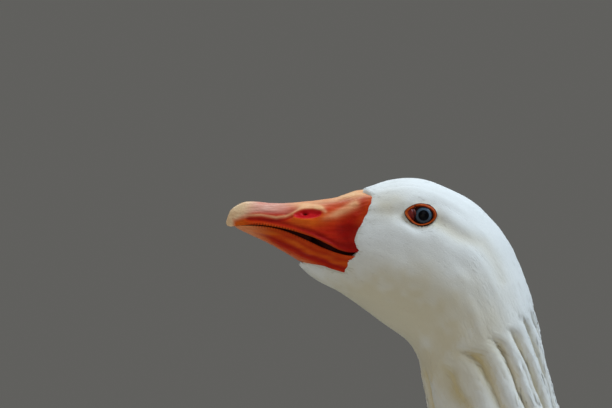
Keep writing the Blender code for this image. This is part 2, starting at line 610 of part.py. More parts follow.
def foot(side, word):
    """Webbed foot lying flat on the floor. The outline runs from the heel down one side
    of each toe, round its end and along the hollow edge of the web."""
    order = ("inner", "middle", "outer")
    outline, inside = [], []

    def at(name, f, off):
        root, d, length, r0, r1 = toe_line(name, side)
        n = np.array([-d[1], d[0]]) * side
        return root + d * (length * f) + n * off

    def half(name, f):
        _, _, length, r0, r1 = toe_line(name, side)
        return (r0 + (r1 - r0) * f) * (1.0 + 0.10 * math.cos(6 * math.pi * f) - 0.22 * f ** 10)

    for i in range(9):                            # round the heel, behind
        a = math.pi * (0.02 + 0.96 * i / 8)
        outline.append((side * (FOOT_X + 10.0 * math.cos(a)), FOOT_Y + 11.2 * math.sin(a)))
    outline = [np.array(p) for p in outline]
    # outward order after the heel: inner toe first (the heel arc ends on the inner side)
    for k, name in enumerate(order):
        if k == 0:
            outline += [at(name, f, -half(name, f)) for f in (0.22, 0.36, 0.50, 0.64, 0.78, 0.90)]
        else:
            outline.append(at(name, 0.90, -half(name, 0.90)))
        outline += [at(name, 0.97, -0.8 * half(name, 0.97)), at(name, 1.0, -0.45 * half(name, 1.0)),
                    at(name, 1.0, 0.45 * half(name, 1.0)), at(name, 0.97, 0.8 * half(name, 0.97)),
                    at(name, 0.90, half(name, 0.90))]
        if k < 2:
            p0, p1 = at(name, 0.84, half(name, 0.84) + 0.2), at(order[k + 1], 0.84, -half(order[k + 1], 0.84) - 0.2)
            outline.append(p0)
            heel = np.array([side * FOOT_X, FOOT_Y])
            for f in (0.17, 0.34, 0.5, 0.66, 0.83):
                q = p0 + (p1 - p0) * f
                outline.append(q + (heel - q) * 0.10 * math.sin(math.pi * f))
            outline.append(p1)
        else:
            outline += [at(name, f, half(name, f)) for f in (0.78, 0.64, 0.50, 0.36, 0.22)]
    for name in order:                            # crest and flanks of each toe
        for f in (0.21, 0.33, 0.42, 0.50, 0.58, 0.67, 0.75, 0.84, 0.92):
            for off in (-0.96, 0.0, 0.96):
                if name == "inner" and off < 0 or name == "outer" and off > 0:
                    continue
                inside.append(at(name, f, off * half(name, f)))
    for pair in (("inner", "middle"), ("middle", "outer")):
        for f in (0.42, 0.56, 0.68):
            p0, p1 = at(pair[0], f, half(pair[0], f) + 0.3), at(pair[1], f, -half(pair[1], f) - 0.3)
            inside += [p0, (p0 + p1) / 2, p1]
    for r in (8.6, 12.0):
        for i in range(14):
            a = 2 * math.pi * i / 14
            q = np.array([side * (FOOT_X + min(r, 8.8) * math.cos(a)), FOOT_Y + r * math.sin(a)])
            if r == 8.6 or math.sin(a) < -0.4:
                inside.append(q)
    inside.append(np.array([side * FOOT_X, FOOT_Y]))
    points = [Vector(p) for p in outline + inside]
    n = len(outline)
    flat, _, faces, _, _, _ = delaunay_2d_cdt(points, [(i, (i + 1) % n) for i in range(n)], [], 1, 1e-4)
    bm = bmesh.new()
    top = [bm.verts.new(place(p.x, p.y, foot_height(p.x, p.y, side))) for p in flat]
    sole = [bm.verts.new(place(p.x, p.y, 0.0)) for p in flat]
    rim = {}
    for f in faces:
        bm.faces.new([top[i] for i in f])
        bm.faces.new([sole[i] for i in reversed(f)])
        for i, j in zip(f, list(f[1:]) + [f[0]]):
            rim[(i, j)] = True
    for i, j in rim:
        if (j, i) not in rim:
            bm.faces.new((top[j], top[i], sole[i], sole[j]))
    bmesh.ops.dissolve_limit(bm, angle_limit=math.radians(0.1), verts=bm.verts, edges=bm.edges)
    return finish(bm, "foot_" + word, LEG)


def claw(root, direction, r, length, drop, name):
    """Short curved claw, blunt from walking."""
    across = np.array([-direction[1], direction[0], 0.0])
    across /= np.linalg.norm(across)
    up = np.cross(across, direction)
    up *= np.sign(up[2])
    rings = []
    for f in (0.0, 0.3, 0.6, 0.85):
        c = root + direction * (length * f) - np.array([0, 0, drop * f * f])
        w = r * (1 - f) ** 0.6
        rings.append([c + across * (w * 0.85 * math.cos(b)) + up * (w * math.sin(b))
                      for b in np.linspace(0, 2 * math.pi, 7, endpoint=False)])
    rings.append([root + direction * length - np.array([0, 0, drop])])
    return loft(rings, name, CLAW)


def leg(side, word):
    s_end = float(_leg_at[-1])
    thigh = loft([leg_ring(s, side, 16) for s in np.linspace(0.0, FEATHER_END - 0.2, 8)], "thigh_" + word, PLUMAGE)
    cut(thigh, trunk_grown)
    seat = [(side * (FOOT_X + 8.5 * math.cos(2 * math.pi * i / 12)), FOOT_Y + 9.5 * math.sin(2 * math.pi * i / 12),
             15.4 + JOINT) for i in range(12)]
    shank = [leg_ring(s, side, 12) for s in np.linspace(FEATHER_END + 0.2, s_end - 6.0, 10)]
    loft(shank + [seat], "shank_" + word, LEG)
    foot(side, word)
    for toe_name, spec in TOES.items():
        root, direction = toe_path(toe_name, spec, side)
        end = root + direction * (spec[1] + JOINT) + np.array([0, 0, spec[3] * 0.72])
        claw(end, direction, spec[3] * 0.66, CLAW_LENGTH, spec[3] * 0.30, f"claw_{toe_name}_{word}")
    # the small hind toe stands off the back of the shank, clear of the floor
    back = np.array([-side * 0.42, 0.86, -0.30])
    back /= np.linalg.norm(back)
    root = np.array([side * (FOOT_X - 4.2), 257.6, 19.5])
    across = np.cross(back, [0, 0, 1.0])
    across /= np.linalg.norm(across)
    up = np.cross(across, back)
    rings = [[root + back * (19.0 * f) + across * (r * math.cos(b)) + up * (r * math.sin(b))
              for b in np.linspace(0, 2 * math.pi, 8, endpoint=False)]
             for f, r in ((0.0, 3.6), (0.3, 4.0), (0.7, 3.6), (1.0, 2.6))]
    loft(rings, "hind_toe_" + word, LEG)
    claw(root + back * (19.0 + JOINT), back, 2.0, 7.5, 1.6, "claw_hind_" + word)


mirrored(leg)
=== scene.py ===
"""Looks of the domestic goose: skin, feathers, bill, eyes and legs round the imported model."""
import math

import bmesh
import bpy
import numpy as np
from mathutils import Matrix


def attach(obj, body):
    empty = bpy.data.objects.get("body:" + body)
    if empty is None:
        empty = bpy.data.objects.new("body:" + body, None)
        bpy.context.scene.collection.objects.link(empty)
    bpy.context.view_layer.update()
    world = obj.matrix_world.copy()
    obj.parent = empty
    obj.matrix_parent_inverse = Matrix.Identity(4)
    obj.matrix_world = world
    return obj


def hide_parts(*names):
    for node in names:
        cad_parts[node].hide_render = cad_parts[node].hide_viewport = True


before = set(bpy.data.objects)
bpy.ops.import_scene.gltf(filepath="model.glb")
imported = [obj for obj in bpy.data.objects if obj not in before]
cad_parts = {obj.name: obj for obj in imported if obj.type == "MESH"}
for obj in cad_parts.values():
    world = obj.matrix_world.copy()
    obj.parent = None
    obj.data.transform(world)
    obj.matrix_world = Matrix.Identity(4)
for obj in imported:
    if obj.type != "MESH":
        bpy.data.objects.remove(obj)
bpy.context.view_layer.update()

rng = np.random.default_rng(7)

# ------------------------------------------------------------------ the part's own measures, in mm
EYE_HEIGHT = 842.0
EYE_TO_MIDDLE = 245.4
BILL_HALF_WIDTH = 16.2
BILL_TIP_Y = -95.0
EYE_BALL_R = 6.5
EYE_BALL_X = 14.4
LID_OUTER = (7.5, 5.15)
LID_OPENING = (6.1, 4.05)
LID_CENTRE = (-2.3, 0.55)
FOOT_X = 66.0
FOOT_Y = 246.0
TOES = {"inner": (-27.0, 76.0, 5.6, 3.6), "middle": (2.0, 98.0, 6.4, 3.8), "outer": (30.0, 88.0, 5.8, 3.6)}
WEB_THICK = 2.4
TAIL_ROOT = (468.0, 362.0)
TAIL_RISE = 10.0
TAIL_TIP_Y = 585.0
TAIL_HALF_FAN = 64.0
WING_THICK = 15.0
SECTIONS = [
    ("bill_core",   (-47.0, 843.5), (-61.2, 819.8), 6.0, 0.50, 2.0, 2.0),
    ("lores",       (-34.0, 853.0), (-53.6, 812.6), 13.4, 0.48, 2.0, 2.0),
    ("forehead",    (-22.0, 857.3), (-42.5, 806.6), 18.4, 0.46, 2.2, 2.0),
    ("crown",       (-7.5, 859.6), (-28.6, 797.4), 22.6, 0.46, 2.35, 2.1),
    ("hind_crown",  (10.5, 855.4), (-15.2, 787.6), 25.2, 0.47, 2.25, 2.1),
    ("occiput",     (26.0, 846.0), (-6.6, 780.6), 26.6, 0.50, 2.1, 2.1),
    ("nape",        (38.6, 832.0), (-1.9, 771.6), 26.6, 0.52, 2.1, 2.1),
    ("jowl",        (47.0, 815.6), (-0.6, 762.4), 26.6, 0.53, 2.1, 2.1),
    ("neck_top",    (56.2, 783.0), (1.4, 751.0), 26.8, 0.52, 2.1, 2.1),
    ("neck_high",   (67.6, 735.0), (5.6, 721.0), 27.2, 0.50, 2.1, 2.1),
    ("neck_mid",    (79.5, 660.0), (13.5, 646.0), 28.6, 0.50, 2.1, 2.1),
    ("neck_low",    (92.0, 574.0), (12.5, 556.0), 33.5, 0.50, 2.1, 2.1),
    ("neck_root",   (112.0, 505.0), (-6.0, 472.0), 51.0, 0.47, 2.1, 2.0),
    ("shoulders",   (158.0, 458.0), (-26.0, 389.0), 85.0, 0.44, 2.1, 2.0),
    ("breast",      (214.0, 444.5), (-2.0, 300.0), 112.0, 0.42, 2.2, 2.1),
    ("keel",        (282.0, 436.5), (82.0, 219.0), 125.0, 0.42, 2.3, 2.2),
    ("belly",       (350.0, 421.0), (192.0, 177.0), 124.0, 0.42, 2.3, 2.3),
    ("paunch",      (412.0, 400.0), (300.0, 179.0), 108.0, 0.44, 2.2, 2.3),
    ("rump",        (456.0, 386.0), (386.0, 216.0), 80.0, 0.50, 2.1, 2.1),
    ("vent",        (492.0, 378.0), (452.0, 270.0), 56.0, 0.56, 2.1, 2.0),
    ("tail_coverts", (524.0, 374.5), (504.0, 322.0), 37.0, 0.62, 2.1, 2.0),
    ("tail_stock",  (556.0, 374.5), (548.0, 352.0), 22.0, 0.65, 2.1, 2.0),
]
SECTION_NAMES = [s[0] for s in SECTIONS]
FEATHER_LINE = [(-31.4, 870.0), (-30.2, 855.4), (-27.2, 853.6), (-25.4, 851.8), (-26.4, 848.5), (-29.0, 843.0), (-32.4, 834.5),
                (-33.8, 829.5), (-32.4, 825.4), (-34.5, 822.6), (-37.6, 820.0),
                (-38.8, 814.4), (-46.0, 816.2), (-60.2, 820.4)]
CULMEN = [(-20.0, 854.9), (-26.5, 854.6), (-32.5, 853.9), (-37.2, 852.4), (-41.5, 850.7), (-49.0, 849.7), (-57.0, 848.7),
          (-64.0, 848.1), (-70.0, 847.9), (-74.0, 848.0), (-77.5, 848.4), (-81.1, 848.7), (-83.5, 848.7), (-85.9, 848.4),
          (-88.3, 847.6), (-90.7, 846.2), (-92.2, 844.9), (-93.4, 843.2), (-94.3, 841.1), (-94.8, 839.4), (-95.0, 838.5)]
TOMIUM = [(-20.0, 825.0), (-30.0, 824.8), (-33.5, 824.5), (-37.0, 824.7), (-41.0, 825.8), (-46.0, 828.3), (-52.0, 831.2), (-58.0, 833.3),
          (-65.0, 835.3), (-72.0, 836.7), (-82.0, 837.6), (-87.0, 837.3), (-90.0, 837.0), (-92.4, 836.75), (-93.8, 836.95), (-94.6, 837.5), (-95.0, 838.4)]
LOWER_RIM = [(-29.0, 822.9), (-33.0, 822.9), (-37.0, 823.1), (-41.0, 824.0), (-46.0, 825.7), (-51.0, 827.8), (-56.0, 830.2), (-61.0, 832.4),
             (-66.0, 834.4), (-71.0, 835.9), (-77.0, 836.9), (-83.0, 837.2), (-91.0, 837.2)]
LOWER_EDGE = [(-33.0, 813.2), (-39.0, 814.0), (-46.0, 815.6), (-53.0, 817.4), (-60.5, 820.6), (-68.0, 825.0),
              (-76.0, 829.4), (-83.5, 832.9), (-88.0, 835.0), (-90.4, 836.5), (-91.0, 837.0)]
WING_PLAN = [(0.00, 58.0, 70.0, 0.20), (0.06, 38.0, 90.0, 0.55), (0.15, 24.0, 101.0, 0.85), (0.32, 14.0, 108.0, 1.00),
             (0.50, 9.0, 107.0, 1.00), (0.66, 7.5, 96.0, 0.95), (0.80, 6.5, 72.0, 0.80), (0.91, 6.5, 44.0, 0.62),
             (1.00, 8.0, 26.0, 0.35)]
LEG_PATH = [
    (72.0, 214.0, 262.0, 40.0, 48.0), (71.0, 232.0, 214.0, 33.0, 40.0), (70.0, 251.0, 172.0, 22.0, 27.0),
    (68.5, 265.0, 138.0, 12.5, 14.5), (67.5, 270.5, 121.0, 9.6, 11.6), (67.0, 270.5, 109.0, 9.2, 11.0),
    (66.5, 266.5, 94.0, 6.6, 8.2), (66.2, 260.0, 66.0, 5.9, 7.2), (66.0, 253.5, 40.0, 6.2, 7.4),
    (66.0, 248.5, 22.0, 7.6, 8.8), (66.0, 246.6, 15.9, 8.4, 9.6)]


def to_frame(p):
    """Bird's own millimetres (y from the eye) to the row frame in metres."""
    q = np.array(p, float)
    q[..., 1] -= EYE_TO_MIDDLE
    return q / 1000.0


class Spline:
    """Natural cubic spline through rows of values."""

    def __init__(self, at, values):
        self.x = np.asarray(at, float)
        self.y = np.asarray(values, float)
        if self.y.ndim == 1:
            self.y = self.y[:, None]
        n = len(self.x)
        h = np.diff(self.x)
        a = np.zeros((n, n))
        r = np.zeros((n, self.y.shape[1]))
        a[0, 0] = a[-1, -1] = 1.0
        for i in range(1, n - 1):
            a[i, i - 1], a[i, i], a[i, i + 1] = h[i - 1], 2 * (h[i - 1] + h[i]), h[i]
            r[i] = 6 * ((self.y[i + 1] - self.y[i]) / h[i] - (self.y[i] - self.y[i - 1]) / h[i - 1])
        self.m = np.linalg.solve(a, r)

    def __call__(self, t):
        t = np.atleast_1d(np.asarray(t, float))
        i = np.clip(np.searchsorted(self.x, t) - 1, 0, len(self.x) - 2)
        h = self.x[i + 1] - self.x[i]
        a, b = (self.x[i + 1] - t) / h, (t - self.x[i]) / h
        return (a[:, None] * self.y[i] + b[:, None] * self.y[i + 1]
                + ((a ** 3 - a) * h * h)[:, None] * self.m[i] / 6
                + ((b ** 3 - b) * h * h)[:, None] * self.m[i + 1] / 6)


def side_curve(points):
    """Smooth z(y) through measured points that does not overshoot between them."""
    pts = np.array(sorted(points))
    x, v = pts[:, 0], pts[:, 1]
    h, d = np.diff(x), np.diff(v) / np.diff(x)
    m = np.concatenate([[d[0]], (d[:-1] * h[1:] + d[1:] * h[:-1]) / (h[1:] + h[:-1]), [d[-1]]])
    lim = 3 * np.minimum(np.abs(np.concatenate([[d[0]], d])), np.abs(np.concatenate([d, [d[-1]]])))
    m = np.clip(m, -lim, lim)

    def at(y):
        q = np.clip(np.asarray(y, float), x[0], x[-1])
        i = np.clip(np.searchsorted(x, q.ravel()) - 1, 0, len(x) - 2).reshape(q.shape)
        f = (q - x[i]) / h[i]
        return ((1 + 2 * f) * (1 - f) ** 2 * v[i] + f * (1 - f) ** 2 * h[i] * m[i]
                + f * f * (3 - 2 * f) * v[i + 1] + f * f * (f - 1) * h[i] * m[i + 1])
    return at


_rows = np.array([[*s[1], *s[2], s[3], s[4], s[5], s[6]] for s in SECTIONS])
_mid = (_rows[:, 0:2] + _rows[:, 2:4]) / 2
STATION = np.concatenate([[0.0], np.cumsum(np.linalg.norm(np.diff(_mid, axis=0), axis=1))])
_body = Spline(STATION, _rows)


def station(name, beyond=0.0):
    return float(STATION[SECTION_NAMES.index(name)] + beyond)


def body(t, phi):
    """Outer surface of the feathered body, in mm."""
    t, phi = np.broadcast_arrays(np.asarray(t, float), np.asarray(phi, float))
    r = _body(t.ravel())
    c, s = np.cos(phi.ravel()), np.sin(phi.ravel())
    back, under = r[:, 0:2], r[:, 2:4]
    n = np.where(c >= 0, r[:, 6], r[:, 7])
    cc = np.sign(c) * np.abs(c) ** (2 / n)
    ss = np.sign(s) * np.abs(s) ** (2 / n)
    m = r[:, 5]
    p = np.where(cc >= 0, m + (1 - m) * cc, m + m * cc)
    yz = under + p[:, None] * (back - under)
    return np.stack([r[:, 4] * ss, yz[:, 0], yz[:, 1]], axis=1).reshape(t.shape + (3,))


def unit(v):
    return v / np.maximum(np.linalg.norm(v, axis=-1, keepdims=True), 1e-9)


def body_frame(t, phi):
    """Point, mm of surface per mm of station, mm per radian, unit tangents and normal."""
    e, f = 0.6, 0.012
    du = (body(t + e, phi) - body(t - e, phi)) / (2 * e)
    dv = (body(t, phi + f) - body(t, phi - f)) / (2 * f)
    n = unit(np.cross(dv, du))
    return body(t, phi), np.linalg.norm(du, axis=-1), np.linalg.norm(dv, axis=-1), unit(du), unit(dv), n


# ------------------------------------------------------------------ smooth noise
def _hash(ix, iy, iz, seed):
    h = (ix * 374761393 + iy * 668265263 + iz * 1274126177 + seed * 974634777) & 0xFFFFFFFF
    h = ((h ^ (h >> 13)) * 1274126177) & 0xFFFFFFFF
    return ((h ^ (h >> 16)) & 0xFFFFFF) / 8388607.5 - 1.0


def noise(p, seed=0):
    """Value noise of points (N, 3), about -1 to 1."""
    p = np.asarray(p, float)
    i = np.floor(p).astype(np.int64)
    f = p - i
    f = f * f * (3 - 2 * f)
    out = 0.0
    for dx in (0, 1):
        for dy in (0, 1):
            for dz in (0, 1):
                w = (f[..., 0] if dx else 1 - f[..., 0]) * (f[..., 1] if dy else 1 - f[..., 1]) * (f[..., 2] if dz else 1 - f[..., 2])
                out = out + w * _hash(i[..., 0] + dx, i[..., 1] + dy, i[..., 2] + dz, seed)
    return out


def smooth(a, b, x):
    f = np.clip((x - a) / (b - a), 0, 1)
    return f * f * (3 - 2 * f)


def bump(x, w):
    return np.exp(-(x / w) ** 2)


# ------------------------------------------------------------------ side-view distances
def line_distance(y, z, pts):
    """Distance to an open polyline and the share of its length at the nearest place."""
    pts = np.asarray(pts, float)
    seg = np.linalg.norm(np.diff(pts, axis=0), axis=1)
    total, run = seg.sum(), 0.0
    best = np.full(np.shape(y), 1e9)
    at = np.zeros(np.shape(y))
    for a, b, ln in zip(pts[:-1], pts[1:], seg):
        d = (b - a) / ln
        f = np.clip((y - a[0]) * d[0] + (z - a[1]) * d[1], 0, ln)
        dist = np.hypot(y - a[0] - f * d[0], z - a[1] - f * d[1])
        near = dist < best
        best = np.where(near, dist, best)
        at = np.where(near, (run + f) / total, at)
        run += ln
    return best, at


def inside(y, z, poly):
    poly = np.asarray(poly, float)
    hit = np.zeros(np.shape(y), bool)
    for (y0, z0), (y1, z1) in zip(poly, np.roll(poly, -1, 0)):
        cross = ((z0 > z) != (z1 > z)) & (y < (y1 - y0) * (z - z0) / (z1 - z0 + 1e-12) + y0)
        hit ^= cross
    return hit


BILL_SIDE = FEATHER_LINE + [(-66.0, 816.0), (-100.0, 820.0), (-100.0, 868.0)]


def feathered(y, z):
    """Signed distance to the feather line in side view, positive on the feathers."""
    d, _ = line_distance(y, z, FEATHER_LINE + [(-66.0, 816.0)])
    return np.where(inside(y, z, BILL_SIDE), -d, d)


def eye_distance(y, z):
    """0 at the eye's centre, 1 on the outer edge of the bare lids."""
    a = (y - LID_CENTRE[0]) / LID_OUTER[0]
    b = (z - EYE_HEIGHT - LID_CENTRE[1]) / LID_OUTER[1]
    front = np.clip(-a, 0, 2)
    return np.hypot(a, b / (1 - 0.30 * np.clip(front, 0, 1) ** 2))


# ------------------------------------------------------------------ relief of the plumage
START_LINE = ([-10.0, 7.7, 19.7, 32.2, 45.6, 55.7, 80.0], [768.0, 777.6, 783.0, 791.0, 799.0, 803.0, 806.0])
PERIOD = 21.5                 # degrees round the neck from one furrow to the next


def furrow(t, phi, p):
    """Depth of the neck's furrows at a place (0 on the crests, 1 in a furrow), how strong
    they are there, and how fast they drift towards the nape, in degrees per mm."""
    w = (phi + math.pi) % (2 * math.pi) - math.pi
    theta = 180.0 - np.degrees(np.abs(w))
    s = np.interp(p[..., 1], *START_LINE) - p[..., 2]
    sp = np.clip(s, 0, None)
    rate = 0.15 + 0.55 * smooth(10, 110, theta)
    drift = rate * 60 * (1 - np.exp(-sp / 60)) + 15 * (1 - np.exp(-sp / 4.5)) * smooth(20, 80, theta)
    q = np.stack([p[..., 1] / 26, p[..., 2] / 26, np.sign(w) * 3.0 + p[..., 0] / 60], -1)
    wob = 0.30 * noise(q, 3) + 0.10 * noise(q * 2.7, 5)
    phase = (theta - drift) / PERIOD + 0.20 + wob
    k = np.round(phase)
    d = np.abs(phase - k)
    late = 5.0 * _hash(k.astype(np.int64), 5, np.sign(w).astype(np.int64), 9)
    strength = smooth(-1.0, 9.0, s - 3.0 - late) * (1 - 0.55 * smooth(70, 170, s)) * (1 - smooth(190, 290, s))
    v = 0.62 * bump(d, 0.15) + 0.38 * (0.5 + 0.5 * np.cos(2 * math.pi * d))
    # shorter side furrows split the broad crests
    d2 = np.abs((phase * 2 + 0.37 * noise(q * 3.1, 8)) % 1.0 - 0.5)
    v = v + 0.22 * bump(0.5 - d2, 0.16) * smooth(0.1, 0.8, noise(q * 2.2, 21) + 0.35)
    flow = rate * np.exp(-sp / 60) + 15 / 4.5 * np.exp(-sp / 4.5) * smooth(20, 80, theta) * (s > 0)
    return v, strength, np.where(s > -6, np.clip(flow, 0, 1.6), 0.0) * smooth(-6, 3, s)


CREASE = [(6.9, 838.6), (14.8, 833.1), (27.0, 828.8), (33.1, 820.9), (36.0, 812.0)]


def relief(t, phi, p):
    """Outward shift of the plumage surface from the smooth body, in mm, and the painted warm shade (0 to 1) in the
    neck's furrows, along the crease behind the eye, in the hollows round and in front of the eye and under the head."""
    y, z, x = p[..., 1], p[..., 2], p[..., 0]
    v, strength, _ = furrow(t, phi, p)
    neck = (t > 40) & (t < station("shoulders", 30))
    shift = np.where(neck, -3.2 * v * strength, 0.0)
    # painted warm shade, deepest down in the neck's furrows
    tint = np.where(neck, 0.76 * np.clip(v * strength, 0, 1) * (1 - 0.6 * smooth(760, 700, z)), 0.0)
    lateral = smooth(4, 14, np.abs(x))
    # crease behind the eye, hollow round it and in front of it, and the soft cheek
    d, at = line_distance(y, z, CREASE)
    head = t < station("neck_top")
    shift = shift + np.where(head, -1.35 * bump(d, 3.6) * (1 - 0.45 * at) * lateral, 0.0)
    # painted warm shade along the crease behind the eye
    tint = tint + np.where(head, 0.50 * bump(d, 3.4) * (1 - 0.6 * at) * lateral, 0.0)
    e = eye_distance(y, z)
    near = head & (np.abs(x) > 6)
    shift = shift + np.where(near, -0.9 * bump(e - 1.15, 0.55), 0.0)
    d, _ = line_distance(y, z, [(-9.0, 843.5), (-18.0, 842.0), (-26.0, 838.0)])
    shift = shift + np.where(near, -0.8 * bump(d, 5.0), 0.0)
    # painted warm shade: the throat and lower jowl, which face down, the hollow of the lores, and the hollow ring of
    # short feathers round the eye
    painted_head_shade = 0.84 * smooth(836, 806, z - 0.15 * y) * smooth(22, -32, y) + 0.78 * smooth(826, 790, z) * smooth(-44, 0, y) * smooth(50, 14, y) * (0.30 + 0.70 * smooth(742, 790, z))
    painted_head_shade = painted_head_shade + 0.50 * bump(np.hypot((y + 17.5) / 9.5, (z - 847) / 6.5), 1.0) * lateral + 0.34 * bump(e - 1.12, 0.22) * lateral
    painted_head_shade = painted_head_shade * (1.0 + 0.4 * noise(p / 11.0, 33) + 0.25 * noise(p / 3.5, 34))
    tint = tint + np.where(t < station("neck_top", 60), np.clip(painted_head_shade, 0, 0.9) * smooth(station("neck_top", 60), station("neck_top", 5), t), 0.0)
    # combed unevenness
    q = np.stack([t / 15.0, np.cos(phi) * 9.0, np.sin(phi) * 9.0], -1)
    shift = shift + 0.22 * noise(q, 31) + 0.30 * noise(p / 9.0, 32)
    return shift, tint


def depth_of_coat(t):
    """How far the skin lies inside the outline of the feathers."""
    return np.interp(t, [0, 30, 60, 110, 150, 200, 330, station("shoulders"), station("breast"), station("vent"), 1200],
                     [0.16, 0.20, 0.30, 0.46, 0.70, 0.9, 1.2, 1.7, 2.1, 2.0, 1.8])


# ------------------------------------------------------------------ mesh helpers
def mesh_object(name, verts, faces, smooth_faces=True):
    """Object from arrays; verts in the bird's own mm. faces is an (N, 3) or (N, 4) array
    or a list of those arrays."""
    groups = faces if isinstance(faces, list) else [faces]
    groups = [np.asarray(g, np.int32) for g in groups if len(g)]
    mesh = bpy.data.meshes.new(name)
    co = to_frame(verts).astype(np.float32)
    mesh.vertices.add(len(co))
    mesh.vertices.foreach_set("co", co.ravel())
    loops = np.concatenate([g.ravel() for g in groups])
    sizes = np.concatenate([np.full(len(g), g.shape[1], np.int32) for g in groups])
    starts = np.concatenate([[0], np.cumsum(sizes)[:-1]]).astype(np.int32)
    mesh.loops.add(len(loops))
    mesh.loops.foreach_set("vertex_index", loops)
    mesh.polygons.add(len(sizes))
    mesh.polygons.foreach_set("loop_start", starts)
    mesh.polygons.foreach_set("use_smooth", np.full(len(sizes), smooth_faces))
    mesh.update(calc_edges=True)
    mesh.validate()
    obj = bpy.data.objects.new(name, mesh)
    bpy.context.scene.collection.objects.link(obj)
    return obj


def attribute(obj, name, values):
    a = obj.data.attributes.new(name, "FLOAT", "POINT")
    a.data.foreach_set("value", np.asarray(values, np.float32).ravel())


def uv_map(obj, name, uv):
    """uv is one pair for each vertex."""
    layer = obj.data.uv_layers.new(name=name)
    loops = np.zeros(len(obj.data.loops), np.int32)
    obj.data.loops.foreach_get("vertex_index", loops)
    layer.data.foreach_set("uv", np.asarray(uv, np.float32)[loops].ravel())


def normals(obj, n):
    obj.data.normals_split_custom_set_from_vertices(unit(np.asarray(n, float)).astype(np.float32))


def corner_normals(obj, n):
    """Normals for each face corner, in the order of the faces."""
    obj.data.normals_split_custom_set(unit(np.asarray(n, float)).astype(np.float32))


def grid_faces(rows, cols, wrap=False, flip=False):
    i = np.arange(rows - 1)[:, None]
    j = np.arange(cols if wrap else cols - 1)[None, :]
    k = (j + 1) % cols if wrap else j + 1
    f = np.stack([i * cols + j, i * cols + k, (i + 1) * cols + k, (i + 1) * cols + j], -1).reshape(-1, 4)
    return f[:, ::-1] if flip else f


def dress(obj, mat, slot, *nodes):
    obj.data.materials.clear()
    obj.data.materials.append(mat)
    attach(obj, "root")
    if nodes:
        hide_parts(*nodes)
    return obj


# ------------------------------------------------------------------ materials
class Nodes:
    """A short way to write a node tree."""

    def __init__(self, name):
        self.mat = bpy.data.materials.new(name)
        self.mat.use_nodes = True
        self.t = self.mat.node_tree
        self.bsdf = self.t.nodes["Principled BSDF"]

    def put(self, kind, **values):
        n = self.t.nodes.new(kind)
        for k, v in values.items():
            if hasattr(n, k) and k not in n.inputs:
                setattr(n, k, v)
            else:
                self.wire(v, n.inputs[k])
        return n

    def wire(self, value, socket):
        if hasattr(value, "is_output"):
            self.t.links.new(value, socket)
        elif hasattr(value, "__len__") and len(value) == 3 and hasattr(socket, "default_value") and hasattr(socket.default_value, "__len__") and len(socket.default_value) == 4:
            socket.default_value = (*value, 1.0)
        else:
            socket.default_value = value

    def attr(self, name):
        return self.put("ShaderNodeAttribute", attribute_name=name).outputs["Fac"]

    def math(self, op, a, b=0.0, clamp=False):
        n = self.t.nodes.new("ShaderNodeMath")
        n.operation, n.use_clamp = op, clamp
        self.wire(a, n.inputs[0])
        self.wire(b, n.inputs[1])
        return n.outputs[0]

    def mix(self, fac, a, b, blend="MIX"):
        n = self.t.nodes.new("ShaderNodeMix")
        n.data_type, n.blend_type = "RGBA", blend
        self.wire(fac, n.inputs["Factor"])
        self.wire(a, n.inputs[6])
        self.wire(b, n.inputs[7])
        return n.outputs[2]

    def coords(self, scale=(1, 1, 1), kind="Object"):
        c = self.t.nodes.new("ShaderNodeTexCoord")
        m = self.t.nodes.new("ShaderNodeMapping")
        m.inputs["Scale"].default_value = scale
        self.t.links.new(c.outputs[kind], m.inputs["Vector"])
        return m.outputs[0]

    def noise(self, scale, detail=3.0, rough=0.5, vector=None, distortion=0.0):
        n = self.t.nodes.new("ShaderNodeTexNoise")
        n.inputs["Scale"].default_value = scale
        n.inputs["Detail"].default_value = detail
        n.inputs["Roughness"].default_value = rough
        n.inputs["Distortion"].default_value = distortion
        self.t.links.new(vector or self.coords(), n.inputs["Vector"])
        return n.outputs["Fac"]

    def range(self, v, a, b, c=0.0, d=1.0):
        n = self.t.nodes.new("ShaderNodeMapRange")
        self.wire(v, n.inputs[0])
        for i, x in zip((1, 2, 3, 4), (a, b, c, d)):
            n.inputs[i].default_value = x
        return n.outputs[0]

    def bump(self, height, strength, distance, normal=None):
        n = self.t.nodes.new("ShaderNodeBump")
        n.inputs["Strength"].default_value = strength
        n.inputs["Distance"].default_value = distance
        self.t.links.new(height, n.inputs["Height"])
        if normal:
            self.t.links.new(normal, n.inputs["Normal"])
        return n.outputs[0]

    def out(self, colour=None, rough=None, normal=None, **direct):
        b = self.bsdf.inputs
        if colour is not None:
            self.wire(colour, b["Base Color"])
        if rough is not None:
            self.wire(rough, b["Roughness"])
        if normal is not None:
            self.t.links.new(normal, b["Normal"])
        for k, v in direct.items():
            b[k.replace("_", " ")].default_value = v
        return self.mat


